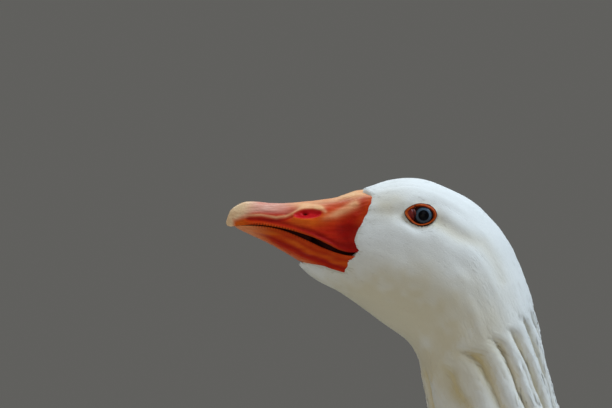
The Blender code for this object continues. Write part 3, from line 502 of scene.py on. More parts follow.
def plumage_material(name, white, shade_colour, tint=0.75, vane=False):
    m = Nodes(name)
    soft = m.noise(45.0, 3.0)
    base = m.mix(m.range(soft, 0.3, 0.7), tuple(c * 0.965 for c in white), white)
    base = m.mix(m.range(m.attr("shade"), 0.0, 1.0, 0.0, 0.10), base, tuple(c * 0.55 for c in white))
    # painted warm shade: the shade colour is mixed in where the attribute marks furrows, hollows and undersides
    base = m.mix(m.math("MULTIPLY", m.attr("tint"), tint), base, shade_colour)
    normal = None
    if vane:
        uv = m.put("ShaderNodeUVMap", uv_map="Vane").outputs[0]
        sep = m.put("ShaderNodeSeparateXYZ")
        m.t.links.new(uv, sep.inputs[0])
        # barbs run outward and forward from the shaft
        across = m.math("ABSOLUTE", m.math("SUBTRACT", sep.outputs[0], 0.5))
        phase = m.math("SUBTRACT", m.math("MULTIPLY", sep.outputs[1], 34.0), m.math("MULTIPLY", across, 18.0))
        barbs = m.math("SINE", m.math("MULTIPLY", phase, 6.283))
        split = m.noise(5.0, 2.0, vector=m.put("ShaderNodeCombineXYZ", X=across, Y=m.math("MULTIPLY", phase, 0.22)).outputs[0])
        shaft = m.math("SUBTRACT", 1.0, m.math("MULTIPLY", across, 40.0), clamp=True)
        base = m.mix(m.math("MULTIPLY", shaft, 0.35), base, (0.72, 0.66, 0.52))
        height = m.math("ADD", m.math("MULTIPLY", barbs, 0.25), m.math("ADD", split, m.math("MULTIPLY", shaft, 1.2)))
        normal = m.bump(height, 0.35, 0.0004)
    return m.out(base, 0.72, normal, Sheen_Weight=0.18, Sheen_Roughness=0.45, Specular_IOR_Level=0.25)


WHITE = (0.885, 0.88, 0.86)
# colour of the painted warm shade
SHADE_OCHRE = (0.66, 0.53, 0.28)
COAT = plumage_material("white_down", WHITE, SHADE_OCHRE)
VANE = plumage_material("white_vanes", WHITE, SHADE_OCHRE, vane=True)
# its second colour is the painted warm shade of the ground between the feathers
SKIN = plumage_material("plumage_ground", (0.80, 0.785, 0.74), (0.58, 0.45, 0.22), 0.85)


def bill_material(name):
    m = Nodes(name)
    along = m.coords((60.0, 12.0, 60.0))
    streak = m.noise(6.0, 4.0, 0.6, along)
    mottled = m.noise(260.0, 4.0, 0.55)
    base = m.mix(m.range(streak, 0.35, 0.65), (0.50, 0.010, 0.0005), (0.64, 0.032, 0.0015))
    # light holds painted highlights on the upper bill and pink is partly painted highlight; the deep red and the black
    # hold painted shade in grooves, the nostril, between the teeth and inside the mouth
    for key, colour in (("warm", (0.74, 0.125, 0.006)), ("deep_red_and_groove_shade", (0.34, 0.003, 0.001)), ("light", (0.94, 0.55, 0.28)),
                        ("pink", (0.89, 0.57, 0.45)), ("nail", (0.92, 0.66, 0.40)), ("wet", (0.60, 0.006, 0.012)),
                        ("dark", (0.020, 0.005, 0.004))):
        f = m.attr(key)
        if key in ("light", "warm", "pink", "deep_red_and_groove_shade"):
            f = m.math("MULTIPLY", f, m.range(streak, 0.25, 0.75, 0.72, 1.12), clamp=True)
        base = m.mix(f, base, colour)
    base = m.mix(m.range(mottled, 0.35, 0.7, 0.0, 0.22), base, (0.85, 0.30, 0.08), "MULTIPLY")
    fine = m.noise(900.0, 3.0, 0.6)
    wrinkle = m.noise(9.0, 5.0, 0.65, m.coords((70.0, 9.0, 70.0)))
    height = m.math("ADD", m.math("MULTIPLY", fine, 0.5), m.math("MULTIPLY", wrinkle, 1.0))
    normal = m.bump(height, 0.42, 0.0005)
    rough = m.math("ADD", m.range(mottled, 0.3, 0.7, 0.40, 0.56), m.math("MULTIPLY", m.attr("dark"), 0.4))
    return m.out(base, rough, normal, Specular_IOR_Level=0.10)


BILL = bill_material("bill_horn")


def eye_material():
    m = Nodes("eye_wet")
    r = m.attr("iris_r")
    a = m.attr("iris_a")
    ray = m.noise(7.0, 4.0, 0.6, m.put("ShaderNodeCombineXYZ", X=m.math("MULTIPLY", a, 3.0), Y=m.math("MULTIPLY", r, 0.15)).outputs[0])
    iris = m.mix(m.range(ray, 0.3, 0.7), (0.030, 0.055, 0.085), (0.125, 0.180, 0.240))
    iris = m.mix(m.range(r, 2.5, 3.3, 0.6, 0.0), iris, (0.05, 0.075, 0.10))
    iris = m.mix(m.range(r, 3.35, 3.95), iris, (0.012, 0.014, 0.018))
    col = m.mix(m.range(r, 2.42, 2.66), (0.003, 0.003, 0.004), iris)
    col = m.mix(m.range(r, 4.0, 4.5), col, (0.05, 0.012, 0.010))
    return m.out(col, 0.25, None, Coat_Weight=0.10, Coat_Roughness=0.03, Specular_IOR_Level=0.02)


EYE = eye_material()


def flesh_material(name, colours, scale=700.0, rough=0.4, coat=0.3):
    m = Nodes(name)
    n = m.noise(scale, 3.0)
    base = m.mix(m.range(n, 0.35, 0.65), colours[0], colours[1])
    base = m.mix(m.attr("edge"), base, colours[2])
    base = m.mix(m.attr("rim"), base, colours[3])
    normal = m.bump(m.noise(scale * 2.5, 3.0), 0.5, 0.0003)
    return m.out(base, rough, normal, Coat_Weight=coat, Coat_Roughness=0.15, Specular_IOR_Level=0.12)


LID = flesh_material("lid_skin", ((0.36, 0.040, 0.002), (0.47, 0.075, 0.004), (0.045, 0.010, 0.003), (0.30, 0.012, 0.003)), rough=0.5, coat=0.0)
CARUNCLE = flesh_material("lid_corner", ((0.13, 0.008, 0.008), (0.24, 0.014, 0.012), (0.03, 0.006, 0.006), (0.26, 0.04, 0.02)), 900.0, 0.35, 0.10)

# ------------------------------------------------------------------ where a side-view place lies on the body
_tg = np.linspace(4, station("neck_top", 40), 170)
_pg = np.linspace(0.02, math.pi - 0.02, 130)
_T, _P = np.meshgrid(_tg, _pg, indexing="ij")
_G = body(_T, _P)


def locate(y, z):
    """(t, phi) on the left side at side-view places."""
    y, z = np.ravel(y).astype(float), np.ravel(z).astype(float)
    out = np.zeros((len(y), 2))
    flat = _G.reshape(-1, 3)
    for i in range(0, len(y), 400):
        d = (flat[None, :, 1] - y[i:i + 400, None]) ** 2 + (flat[None, :, 2] - z[i:i + 400, None]) ** 2
        k = np.argmin(d, axis=1)
        out[i:i + 400, 0], out[i:i + 400, 1] = _T.ravel()[k], _P.ravel()[k]
    for _ in range(6):
        t, p = out[:, 0], out[:, 1]
        b = body(t, p)
        jt = (body(t + 0.3, p) - b)[:, 1:] / 0.3
        jp = (body(t, p + 0.004) - b)[:, 1:] / 0.004
        det = jt[:, 0] * jp[:, 1] - jt[:, 1] * jp[:, 0]
        ok = np.abs(det) > 1e-3
        ry, rz = y - b[:, 1], z - b[:, 2]
        dt = np.where(ok, (ry * jp[:, 1] - rz * jp[:, 0]) / np.where(ok, det, 1), 0)
        dp = np.where(ok, (jt[:, 0] * rz - jt[:, 1] * ry) / np.where(ok, det, 1), 0)
        out[:, 0] = np.clip(t + np.clip(dt, -2, 2), 2, _tg[-1])
        out[:, 1] = np.clip(p + np.clip(dp, -0.06, 0.06), 0.001, math.pi - 0.001)
    return out[:, 0], out[:, 1]


def surface_at(y, z):
    """The body's outline point and normal on the left side at side-view places."""
    t, p = locate(y, z)
    b, _, _, _, _, n = body_frame(t, p)
    return b, n


# ------------------------------------------------------------------ skin
T_LAST = station("tail_coverts", 12.0)
_ts = np.concatenate([np.arange(3.0, 60, 0.85), np.arange(60, 260, 1.15), np.arange(260, 420, 2.4), np.arange(420, T_LAST, 6.0), [T_LAST]])
AROUND = 196
_ph = np.linspace(0, 2 * math.pi, AROUND, endpoint=False)
_ph = _ph - 0.10 * np.sin(2 * _ph)


def wing_rise(t, phi):
    """Height of the folded wings over the trunk."""
    a = (t - W_FRONT) / (W_BACK - W_FRONT)
    plan = _plan(np.clip(a, 0, 1).ravel())
    top, low, thick = (plan[:, k].reshape(np.shape(t)) for k in range(3))
    w = np.degrees(np.abs((phi + math.pi) % (2 * math.pi) - math.pi))
    b = np.clip(1 - 2 * (w - top) / np.maximum(low - top, 1e-3), -1.5, 1.5)
    rise = (1.4 + (WING_THICK * thick - 1.4) * (1 - np.abs(np.clip(b, -1, 1)) ** 3))
    edge = smooth(1.06, 0.98, np.abs(b)) * smooth(-0.01, 0.03, a) * smooth(1.02, 0.99, a)
    return rise * edge


W_FRONT, W_BACK = station("shoulders", -14.0), station("tail_coverts", 10.0)
_plan = Spline([p[0] for p in WING_PLAN], [p[1:] for p in WING_PLAN])


def coat_point(t, phi, h):
    """Place h mm outside the plumage surface."""
    b, _, _, _, _, n = body_frame(t, phi)
    shift, tint = relief(t, phi, b)
    return b + (shift + h)[..., None] * n, n, tint, b


_leg = np.array(LEG_PATH)
_leg_at = np.concatenate([[0.0], np.cumsum(np.linalg.norm(np.diff(_leg[:, :3], axis=0), axis=1))])
leg_curve = Spline(_leg_at, _leg)
FEATHER_END = float(_leg_at[4]) - 4.0


def leg_surface(s, a, side, h=0.0):
    """Place and normal on the leg, s mm down its path, at angle a round it."""
    s, a = np.broadcast_arrays(np.asarray(s, float), np.asarray(a, float))
    shape = s.shape
    s, a = s.ravel(), a.ravel()
    p = leg_curve(s)
    d = unit((leg_curve(s + 0.5) - leg_curve(s - 0.5))[:, :3])
    across = unit(np.array([[1.0, 0.0, 0.0]]) - d[:, :1] * d)
    fore = np.cross(d, across)
    c, q = np.cos(a)[:, None], np.sin(a)[:, None]
    n = unit(across * c / p[:, 3:4] + fore * q / p[:, 4:5])
    v = p[:, :3] + across * p[:, 3:4] * c + fore * p[:, 4:5] * q + np.asarray(h).reshape(-1, 1) * n
    v[:, 0] *= side
    n[:, 0] *= side
    d = d * np.array([side, 1.0, 1.0])
    return v.reshape(shape + (3,)), n.reshape(shape + (3,)), d.reshape(shape + (3,))


def tail_width(f):
    w = TAIL_HALF_FAN * (0.26 + 0.74 * np.clip(f, 0, 2) ** 0.9)
    tip = np.sqrt(np.clip(1 - ((f - 0.72) / 0.285) ** 2, 0, 1)) * 0.94 + 0.06
    return np.where(f > 0.72, w * tip, w)


def tail_surface(f, u, h, fan=None):
    """Place on the tail's blade: f along it, u across it (-1 to 1), h above its middle."""
    w = tail_width(f) if fan is None else fan
    y = TAIL_ROOT[0] + (TAIL_TIP_Y - TAIL_ROOT[0]) * f
    z = TAIL_ROOT[1] + TAIL_RISE * f - 11.0 * (u * w / TAIL_HALF_FAN) ** 2 + h
    return np.stack(np.broadcast_arrays(w * u, y, z), -1)


def shell(grid, first):
    """Faces of a tube of rings with both ends closed, numbered from first."""
    rows, cols = grid.shape[:2]
    verts = np.concatenate([grid.reshape(-1, 3), grid[0].mean(0)[None], grid[-1].mean(0)[None]])
    k = np.arange(cols)
    faces = [grid_faces(rows, cols, wrap=True) + first,
             np.stack([np.full(cols, rows * cols), (k + 1) % cols, k], -1) + first,
             np.stack([np.full(cols, rows * cols + 1), (rows - 1) * cols + k, (rows - 1) * cols + (k + 1) % cols], -1) + first]
    return verts, faces


LEG_FLIP, TAIL_FLIP = False, False


def build_skin():
    T, P = np.meshgrid(_ts, _ph, indexing="ij")
    b, _, _, _, _, n = body_frame(T, P)
    shift, tint = relief(T, P, b)
    sd = feathered(b[..., 1], b[..., 2])
    front = T < 90
    h = shift - depth_of_coat(T)
    h = h - np.where(front, 5.0 * smooth(0.6, -4.5, sd) + 3.0 * smooth(0.5, -0.9, sd) * bump(b[..., 2] - 823.8, 3.4) * (b[..., 1] < -28), 0.0)
    e = eye_distance(b[..., 1], b[..., 2])
    h = h - np.where((np.abs(b[..., 0]) > 6) & (T < 120), 5.5 * smooth(0.97, 0.82, e), 0.0)
    h = h + np.maximum(wing_rise(T, P) - 1.4, 0) * (T > W_FRONT)
    v = b + h[..., None] * n
    rows, cols = T.shape
    verts = np.concatenate([v.reshape(-1, 3), v[0].mean(0)[None], v[-1].mean(0)[None]])
    quads = grid_faces(rows, cols, wrap=True)
    # the thighs and the root of the tail belong to the same skin
    extra_faces, extra_uv = [], []
    for i, side in enumerate((1, -1)):
        s = np.linspace(2.0, FEATHER_END - 0.5, 60)[:, None]
        a = np.linspace(0, 2 * math.pi, 64, endpoint=False)[None] * side
        inset = -2.2 * smooth(0.0, 60.0, FEATHER_END - s) - 0.5 + 0 * a
        ring, _, _ = leg_surface(s + 0 * a, a + 0 * s, side, inset)
        more, faces = shell(ring, len(verts))
        extra_faces += [f[:, ::-1] for f in faces] if LEG_FLIP else faces
        verts = np.concatenate([verts, more])
        u = 0.75 + 0.12 * i + 0.11 * np.linspace(0, 1, 64)[None] + 0 * s
        w = 0.02 + 0.42 * (s / FEATHER_END) + 0 * a
        extra_uv.append(np.concatenate([np.stack([u, w], -1).reshape(-1, 2), [[0.8 + 0.12 * i, 0.01], [0.8 + 0.12 * i, 0.45]]]))
    f = np.linspace(0.02, 0.93, 40)[:, None]
    a = np.linspace(0, 2 * math.pi, 64, endpoint=False)[None]
    blade = tail_surface(f + 0 * a, 0.97 * np.cos(a) + 0 * f, (3.6 - 2.9 * f) * np.sin(a))
    more, faces = shell(blade, len(verts))
    extra_faces += [g[:, ::-1] for g in faces] if TAIL_FLIP else faces
    verts = np.concatenate([verts, more])
    extra_uv.append(np.concatenate([np.stack([0.76 + 0.20 * (a / 6.3) + 0 * f, 0.52 + 0.44 * f + 0 * a], -1).reshape(-1, 2), [[0.86, 0.51], [0.86, 0.98]]]))
    k = np.arange(cols)
    first = np.stack([np.full(cols, rows * cols), (k + 1) % cols, k], -1)
    last = np.stack([np.full(cols, rows * cols + 1), (rows - 1) * cols + k, (rows - 1) * cols + (k + 1) % cols], -1)
    o = mesh_object("skin", verts, [quads, first, last] + extra_faces)
    tint = np.concatenate([tint.ravel(), [0, 0], np.zeros(len(verts) - tint.size - 2)])
    attribute(o, "tint", tint)
    attribute(o, "shade", np.zeros(len(verts)))
    uv = np.stack([P / (2 * math.pi), (T - _ts[0]) / (_ts[-1] - _ts[0])], -1).reshape(-1, 2)
    uv = np.concatenate([uv, [[0.5, 0.0], [0.5, 1.0]]]) * (0.72, 0.98) + 0.01
    uv_map(o, "OFBake", np.concatenate([uv] + extra_uv))
    return o


skin = build_skin()
dress(skin, SKIN, "white_plumage", "head", "neck_upper", "neck_lower", "trunk", "wing_left", "wing_right",
      "thigh_left", "thigh_right", "tail")

# ------------------------------------------------------------------ bill
culmen, tomium = side_curve(CULMEN), side_curve(TOMIUM)
lower_rim, lower_edge = side_curve(LOWER_RIM), side_curve(LOWER_EDGE)
RIDGE = [(-86.5, 841.2), (-84.1, 842.1), (-78.3, 842.4), (-70.9, 841.1), (-66.5, 841.8), (-63.1, 843.2), (-59.7, 845.1), (-57.2, 846.1),
         (-53.3, 846.4), (-49.4, 845.4), (-47.4, 843.9)]
UNDER_RIDGE = [(-84.5, 840.6), (-78.3, 840.4), (-72.9, 839.6), (-67.0, 840.2), (-63.4, 841.4)]
OVER_NOSTRIL = [(-66.0, 842.9), (-63.6, 843.6), (-61.2, 845.2), (-57.7, 847.2), (-51.4, 848.2), (-44.0, 848.6), (-36.6, 849.6), (-30.3, 850.9)]
BELOW_NOSTRIL = [(-62.1, 840.9), (-58.2, 839.8), (-53.3, 839.4), (-49.4, 840.2), (-46.5, 841.2), (-42.5, 842.5), (-38.6, 844.4),
                 (-35.2, 846.3), (-33.2, 847.6)]
NOSTRIL = (-55.9, 842.75, 6.7, 2.25)
NAIL_EDGE = [(-83.4, 850.0), (-84.1, 848.1), (-85.6, 843.2), (-87.4, 839.4), (-90.0, 837.0)]


def bill_half_width(y):
    f = np.clip((y - BILL_TIP_Y) / 62.0, 0.0, 1.25)
    g = np.clip(f, 0, 1)
    return BILL_HALF_WIDTH * (0.50 * (np.sqrt(g * (2 - g)) ** 0.85) + 0.50 * f)


def nostril_distance(y, z):
    a, b = (y - NOSTRIL[0]) / NOSTRIL[2], (z - NOSTRIL[1] - 0.06 * (y - NOSTRIL[0])) / NOSTRIL[3]
    return np.abs(a) ** 1.6 * 0.62 + np.abs(a) ** 4 * 0.38 + b ** 2


def upper_paint(y, z, x, low, top, side):
    """Relief and colour masks of the upper bill at side-view places."""
    ridge, along = line_distance(y, z, RIDGE)
    under, _ = line_distance(y, z, UNDER_RIDGE)
    over, over_at = line_distance(y, z, OVER_NOSTRIL)
    below, below_at = line_distance(y, z, BELOW_NOSTRIL)
    nose = nostril_distance(y, z)
    lateral = smooth(1.5, 4.0, np.abs(x))
    fade = smooth(-90, -84, y)
    over_nose = smooth(-64, -58, y)
    shift = (0.15 + 0.07 * over_nose) * bump(ridge, 0.80 + 0.50 * over_nose) * lateral * fade
    shift -= 0.34 * bump(under, 1.1) * fade
    shift -= 0.40 * bump(over, 1.1) * (1 - 0.55 * over_at) * lateral
    shift += 0.42 * bump(below, 1.15 + 0.9 * below_at) * (1 - 0.5 * smooth(0.8, 1, below_at))
    pocket = smooth(1.12, 0.30, nose)
    shift -= 0.85 * pocket
    shift += 0.05 * bump(nose - 1.35, 0.34) * smooth(842, 845, z)
    cy, cz = NOSTRIL[0] - 1.2, NOSTRIL[1] + 0.65
    hole = bump(np.hypot((y - cy) / 1.5, (z - cz) / 0.8), 0.8)
    shift -= 1.6 * hole
    shift -= 0.35 * bump(np.hypot((y + 53.0) / 2.6, (z - 843.5) / 0.45), 0.8)
    cheek, _ = line_distance(y, z, [(-50.0, 836.0), (-40.0, 835.0), (-34.0, 833.0)])
    shift -= 0.55 * bump(cheek, 4.0)
    rim = z - low
    shift += 0.35 * bump(rim - 0.7, 0.7) * smooth(-88, -80, y)
    shift -= 0.28 * bump(rim - 2.3, 1.0) * smooth(-86, -78, y)
    # the nail: a raised plate with growth lines
    nd, _ = line_distance(y, z, NAIL_EDGE)
    on_nail = np.where(y < np.interp(z, [837.0, 839.4, 843.2, 848.1, 850.0], [-90.0, -87.4, -85.6, -84.1, -83.4]), 1.0, 0.0)
    nail = smooth(-1.7, 1.9, np.where(on_nail > 0, nd, -nd))
    shift += 0.12 * smooth(-1.6, 1.8, np.where(on_nail > 0, nd, -nd)) - 0.03 * bump(nd, 0.8)
    shift += 0.018 * np.sin(nd * 2 * math.pi / 0.95) * on_nail * smooth(0.6, 1.5, nd)
    q = np.stack([x / 2.4, y / 13.0, z / 2.0], -1)
    lines = noise(q * 1.0, 41)
    shift += 0.17 * lines + 0.10 * noise(q * 2.3, 42) + 0.05 * noise(q * 4.6, 44)
    shift += 0.10 * noise(np.stack([x / 4, y / 4, z / 4], -1), 43)
    # teeth along the cutting edge
    teeth = np.sin(2 * math.pi * y / 1.35) * smooth(-85, -80, y) * smooth(-58, -64, y) * bump(rim - 0.25, 0.7)
    shift += 0.22 * teeth
    masks = {}
    top_line = bump(top - z, 2.6) * smooth(-86, -74, y)
    nail = smooth(-5.5, 3.5, np.where(on_nail > 0, nd, -nd)) * smooth(838.9, 842.4, z + 0.35 * (-88.5 - y))
    masks["nail"] = np.clip(np.maximum(nail, smooth(-90.0, -92.5, y)), 0, 1)
    # pale pink on the top behind the nail, partly horn colour and partly painted highlight where the top faces the
    # light
    masks["pink"] = np.clip(smooth(842.0, 845.2, z + 0.02 * (y + 80)) * smooth(-59, -73, y) * smooth(0.1, 1.4, ridge) * (0.85 + 0.3 * lines), 0, 1) * 0.95
    # pale orange, mostly painted highlight: along the nostril ridge, on the nostril's upper rim, on the ridge below the
    # nostril, along the culmen's top edge and on the knob
    masks["light"] = np.clip((0.64 - 0.12 * over_nose) * bump(ridge, 0.66 + 0.2 * over_nose) * fade * lateral * smooth(-92, -80, y) + 0.80 * bump(np.hypot((y + 54.0) / 5.6, (z - 846.5) / 1.15), 1.0) + 0.70 * bump(below, 0.9 + 1.1 * below_at) * smooth(0.35, 0.72, below_at)
                             + 0.74 * top_line * smooth(-74, -60, y) * (1 - 0.25 * smooth(-40, -30, y)) + 0.85 * bump(np.hypot((y + 50.2) / 2.0, (z - 845.6) / 0.9), 1.0)
                             + 1.1 * bump(np.hypot((y + 33.5) / 8.5, (z - 854.0) / 3.3), 1.0), 0, 1)
    masks["warm"] = np.clip(0.65 * bump(below, 3.0) + 0.60 * bump(rim - 0.35, 0.5) * smooth(-84, -70, y) * smooth(-32, -44, y)
                            + 0.65 * smooth(-82, -88, y) * smooth(842.5, 839.5, z) + 0.40 * smooth(-64, -78, y) * smooth(840.3, 838.6, z) + 0.55 * smooth(-34, -26, y) * smooth(850, 853, z)
                            + 0.50 * bump(np.hypot((y + 57.0) / 7.5, (z - 838.2) / 2.4), 1.0) + 0.45 * bump(feathered(y, z), 2.2) * smooth(826, 832, z), 0, 1)
    # deep red horn at the rear, and darker red as painted shade along the grooves above and below the nostril ridge, in
    # the cheek hollow, in the groove over the cutting edge and low at the rear
    masks["deep_red_and_groove_shade"] = np.clip(0.50 * smooth(-44, -34, y) * smooth(851, 846, z) * (1 - bump(below, 2.0)) + 0.75 * bump(over, 0.85) * (1 - 0.3 * over_at) + 0.75 * bump(under, 0.8) + 0.55 * bump(cheek, 3.6) * smooth(-46, -38, y)
                               + 0.75 * bump(rim - 2.2, 1.3) * smooth(-84, -70, y) + 0.35 * smooth(-64, -50, y) * smooth(840, 835, z), 0, 1)
    masks["wet"] = np.clip(smooth(1.16, 0.85, nose), 0, 1) * (1 - 0.9 * masks["light"])
    # painted black shade in the nostril's opening and in the notches between the teeth
    masks["dark"] = np.clip(0.95 * bump(np.hypot((y - cy) / 0.9, (z - cz) / 0.6), 1.0) + 0.85 * np.clip(-teeth, 0, 1) * bump(rim, 0.8), 0, 1)
    return shift, masks


def fit_to_head(v):
    """Behind the feather line the horn tucks just under the plumage."""
    y, z = v[..., 1], v[..., 2]
    near = (y > -56) & (z > 812)
    idx = np.nonzero(near.ravel())[0]
    flat = v.reshape(-1, 3).copy()
    sd = feathered(flat[idx, 1], flat[idx, 2])
    t, p = locate(flat[idx, 1], flat[idx, 2])
    b = body(t, p)
    miss = np.hypot(b[:, 1] - flat[idx, 1], b[:, 2] - flat[idx, 2])
    want = b[:, 0] - 0.45 - 2.5 * smooth(0.3, 4.0, sd)
    side = np.sign(flat[idx, 0])
    have = np.abs(flat[idx, 0])
    w = smooth(-14.0, -0.5, sd) * smooth(2.5, 0.5, miss) * smooth(4, 9, have) * smooth(-54.0, -42.0, flat[idx, 1])
    flat[idx, 0] = side * (have + (want - have) * w)
    return flat.reshape(v.shape)


def build_upper_bill():
    f = np.linspace(0, 1, 240)
    ys = BILL_TIP_Y + 0.004 + (-21.0 - BILL_TIP_Y) * (0.5 * f ** 2.4 + 0.5 * f ** 1.25)
    arch, palate = 150, 40
    a = np.linspace(0, math.pi, arch + 1)
    w = bill_half_width(ys)[:, None]
    top, low = culmen(ys)[:, None], tomium(ys)[:, None]
    c, s = np.cos(a)[None], np.sin(a)[None]
    x = w * np.sign(c) * np.abs(c) ** 0.92
    z = low + (top - low) * np.abs(s) ** 1.15
    outer = np.stack([x, np.broadcast_to(ys[:, None], x.shape), z], -1)
    outer = fit_to_head(outer)
    du = np.gradient(outer, axis=0)
    dv = np.gradient(outer, axis=1)
    n = unit(np.cross(dv, du))
    n *= np.sign(np.sum(n * np.array([0, 0, 1.0]), -1, keepdims=True).mean(axis=(0, 1), keepdims=True) + 1e-9)
    shift, masks = upper_paint(outer[..., 1], outer[..., 2], outer[..., 0], low, top, 1)
    tip = smooth(0.1, 2.2, ys - BILL_TIP_Y)[:, None]
    outer = outer + (shift * tip)[..., None] * n
    g = np.linspace(0, 1, palate + 2)[1:-1][None]
    left, right = outer[:, -1:, :], outer[:, :1, :]
    inner = left + (right - left) * g[..., None]
    rise = (0.16 * (top - low) * np.sin(math.pi * g)) + 0.5 * np.minimum(1, 8 * g * (1 - g))
    inner[..., 2] += rise
    grid = np.concatenate([outer, inner], 1)
    rows, cols = grid.shape[:2]
    verts = np.concatenate([grid.reshape(-1, 3), grid[0].mean(0)[None] + [[0, -0.02, 0]], grid[-1].mean(0)[None]])
    k = np.arange(cols)
    caps = [np.stack([np.full(cols, rows * cols), (k + 1) % cols, k], -1),
            np.stack([np.full(cols, rows * cols + 1), (rows - 1) * cols + k, (rows - 1) * cols + (k + 1) % cols], -1)]
    o = mesh_object("upper_bill_horn", verts, [grid_faces(rows, cols, wrap=True)] + caps)
    edge = smooth(0.0, 0.10, 4 * g * (1 - g))
    for key in ("warm", "deep_red_and_groove_shade", "light", "pink", "nail", "wet", "dark"):
        m = masks.get(key, np.zeros_like(shift))
        # the palate inside is painted almost black as shade
        ins = np.broadcast_to(edge * (0.96 if key == "dark" else 0.0), (rows, palate))
        full = np.concatenate([m, ins], 1).ravel()
        attribute(o, key, np.concatenate([full, [masks["nail"][0].mean() if key == "nail" else 0, 0]]))
    return o


def build_lower_bill():
    f = np.linspace(0, 1, 150)
    ys = -90.95 + (-29.5 + 90.95) * (0.5 * f ** 2 + 0.5 * f ** 1.2)
    under_n, floor_n = 120, 60
    w = bill_half_width(ys)[:, None] * 0.93
    top, low = lower_rim(ys)[:, None], lower_edge(ys)[:, None]
    h = np.maximum(top - low, 0.15)
    a = np.linspace(0, math.pi, under_n + 1)[None]
    x = -w * np.cos(a)
    z = top - h * np.abs(np.sin(a)) ** 0.62
    under = np.stack([x, np.broadcast_to(ys[:, None], x.shape), z], -1)
    under = fit_to_head(under)
    q = (top - under[..., 2]) / h
    y, zz, xx = under[..., 1], under[..., 2], under[..., 0]
    p3 = np.stack([xx / 2.2, y / 16.0, zz / 1.6], -1)
    lines = noise(p3, 51)
    n = unit(np.cross(np.gradient(under, axis=1), np.gradient(under, axis=0)))
    n *= -np.sign(n[..., 2].mean())
    band = np.clip(q + 0.15 * noise(np.stack([xx / 5, y / 9, zz / 5], -1), 52), 0, 1)
    scale = smooth(0.5, 5.0, h)
    shift = scale * (0.20 * bump(band - 0.44, 0.13) - 0.20 * bump(band - 0.22, 0.11) - 0.22 * bump(band - 0.68, 0.12) + 0.15 * bump(band - 0.04, 0.08))
    shift += 0.16 * lines + 0.10 * noise(p3 * 2.3, 53) + 0.05 * noise(p3 * 4.6, 54)
    teeth = np.sin(2 * math.pi * y / 1.35 + 1.6) * smooth(-84, -79, y) * smooth(-46, -60, y) * bump(top - zz - 0.2, 0.7)
    shift += 0.20 * teeth
    under = under + (shift * smooth(0, 0.06, f)[:, None])[..., None] * n
    # floor of the mouth
    g = np.linspace(0, 1, floor_n + 2)[1:-1][None]
    right, left = under[:, -1:, :], under[:, :1, :]
    floor = right + (left - right) * g[..., None]
    gap = np.maximum(0.0, tomium(ys)[:, None] - top)
    crown = (gap + 0.16 * (culmen(ys) - tomium(ys))[:, None] - 1.3) * np.clip((np.sin(math.pi * g) - 0.30) / 0.70, 0, 1) ** 0.8
    floor[..., 2] += np.maximum(crown, 0) * np.minimum(1, h / 4) - 0.55 * np.minimum(1, 7 * g * (1 - g)) * np.minimum(1, h / 4) * (1 - np.clip((np.sin(math.pi * g) - 0.30) / 0.3, 0, 1))
    grid = np.concatenate([under, floor], 1)
    rows, cols = grid.shape[:2]
    verts = np.concatenate([grid.reshape(-1, 3), grid[0].mean(0)[None], grid[-1].mean(0)[None]])
    k = np.arange(cols)
    caps = [np.stack([np.full(cols, rows * cols), (k + 1) % cols, k], -1),
            np.stack([np.full(cols, rows * cols + 1), (rows - 1) * cols + k, (rows - 1) * cols + (k + 1) % cols], -1)]
    o = mesh_object("lower_bill_horn", verts, [grid_faces(rows, cols, wrap=True)] + caps)
    front = smooth(-66, -86, y)
    masks = {
        "warm": np.clip(0.80 * bump(band - 0.36, 0.20) * (0.8 + 0.5 * lines) + 0.35 * bump(band - 0.05, 0.11) + 0.85 * smooth(0.76, 0.97, band) * smooth(-38, -48, y) + 0.9 * front, 0, 1),
        "light": np.clip(0.42 * smooth(-72, -86, y) + 0.16 * smooth(0.92, 1.0, band) * smooth(-46, -56, y) * smooth(-86, -70, y), 0, 1),
        # the two grooves of the lower bill painted darker red as shade
        "deep_red_and_groove_shade": np.clip(0.30 * bump(band - 0.20, 0.10) + 0.75 * bump(band - 0.66, 0.13), 0, 1) * smooth(-84, -74, y),
        # painted black shade in the notches between the teeth
        "dark": np.clip(0.55 * np.clip(-teeth, 0, 1), 0, 1),
    }
    # the floor of the mouth is painted dark as shade, blacker further in, with some deep red
    inside_dark = smooth(0.0, 0.07, 4 * g * (1 - g)) * np.ones((rows, 1))
    deep = smooth(0.15, 0.45, 4 * g * (1 - g)) * np.ones((rows, 1))
    for key in ("warm", "deep_red_and_groove_shade", "light", "pink", "nail", "wet", "dark"):
        m = masks.get(key, np.zeros_like(shift))
        ins = inside_dark * (0.74 + 0.22 * deep) if key == "dark" else (0.5 * inside_dark if key == "deep_red_and_groove_shade" else 0 * deep)
        full = np.concatenate([m, ins], 1).ravel()
        attribute(o, key, np.concatenate([full, [0, 0]]))
    return o


upper = dress(build_upper_bill(), BILL, "orange_bill", "bill_upper")
lower = dress(build_lower_bill(), BILL, "orange_bill", "bill_lower")


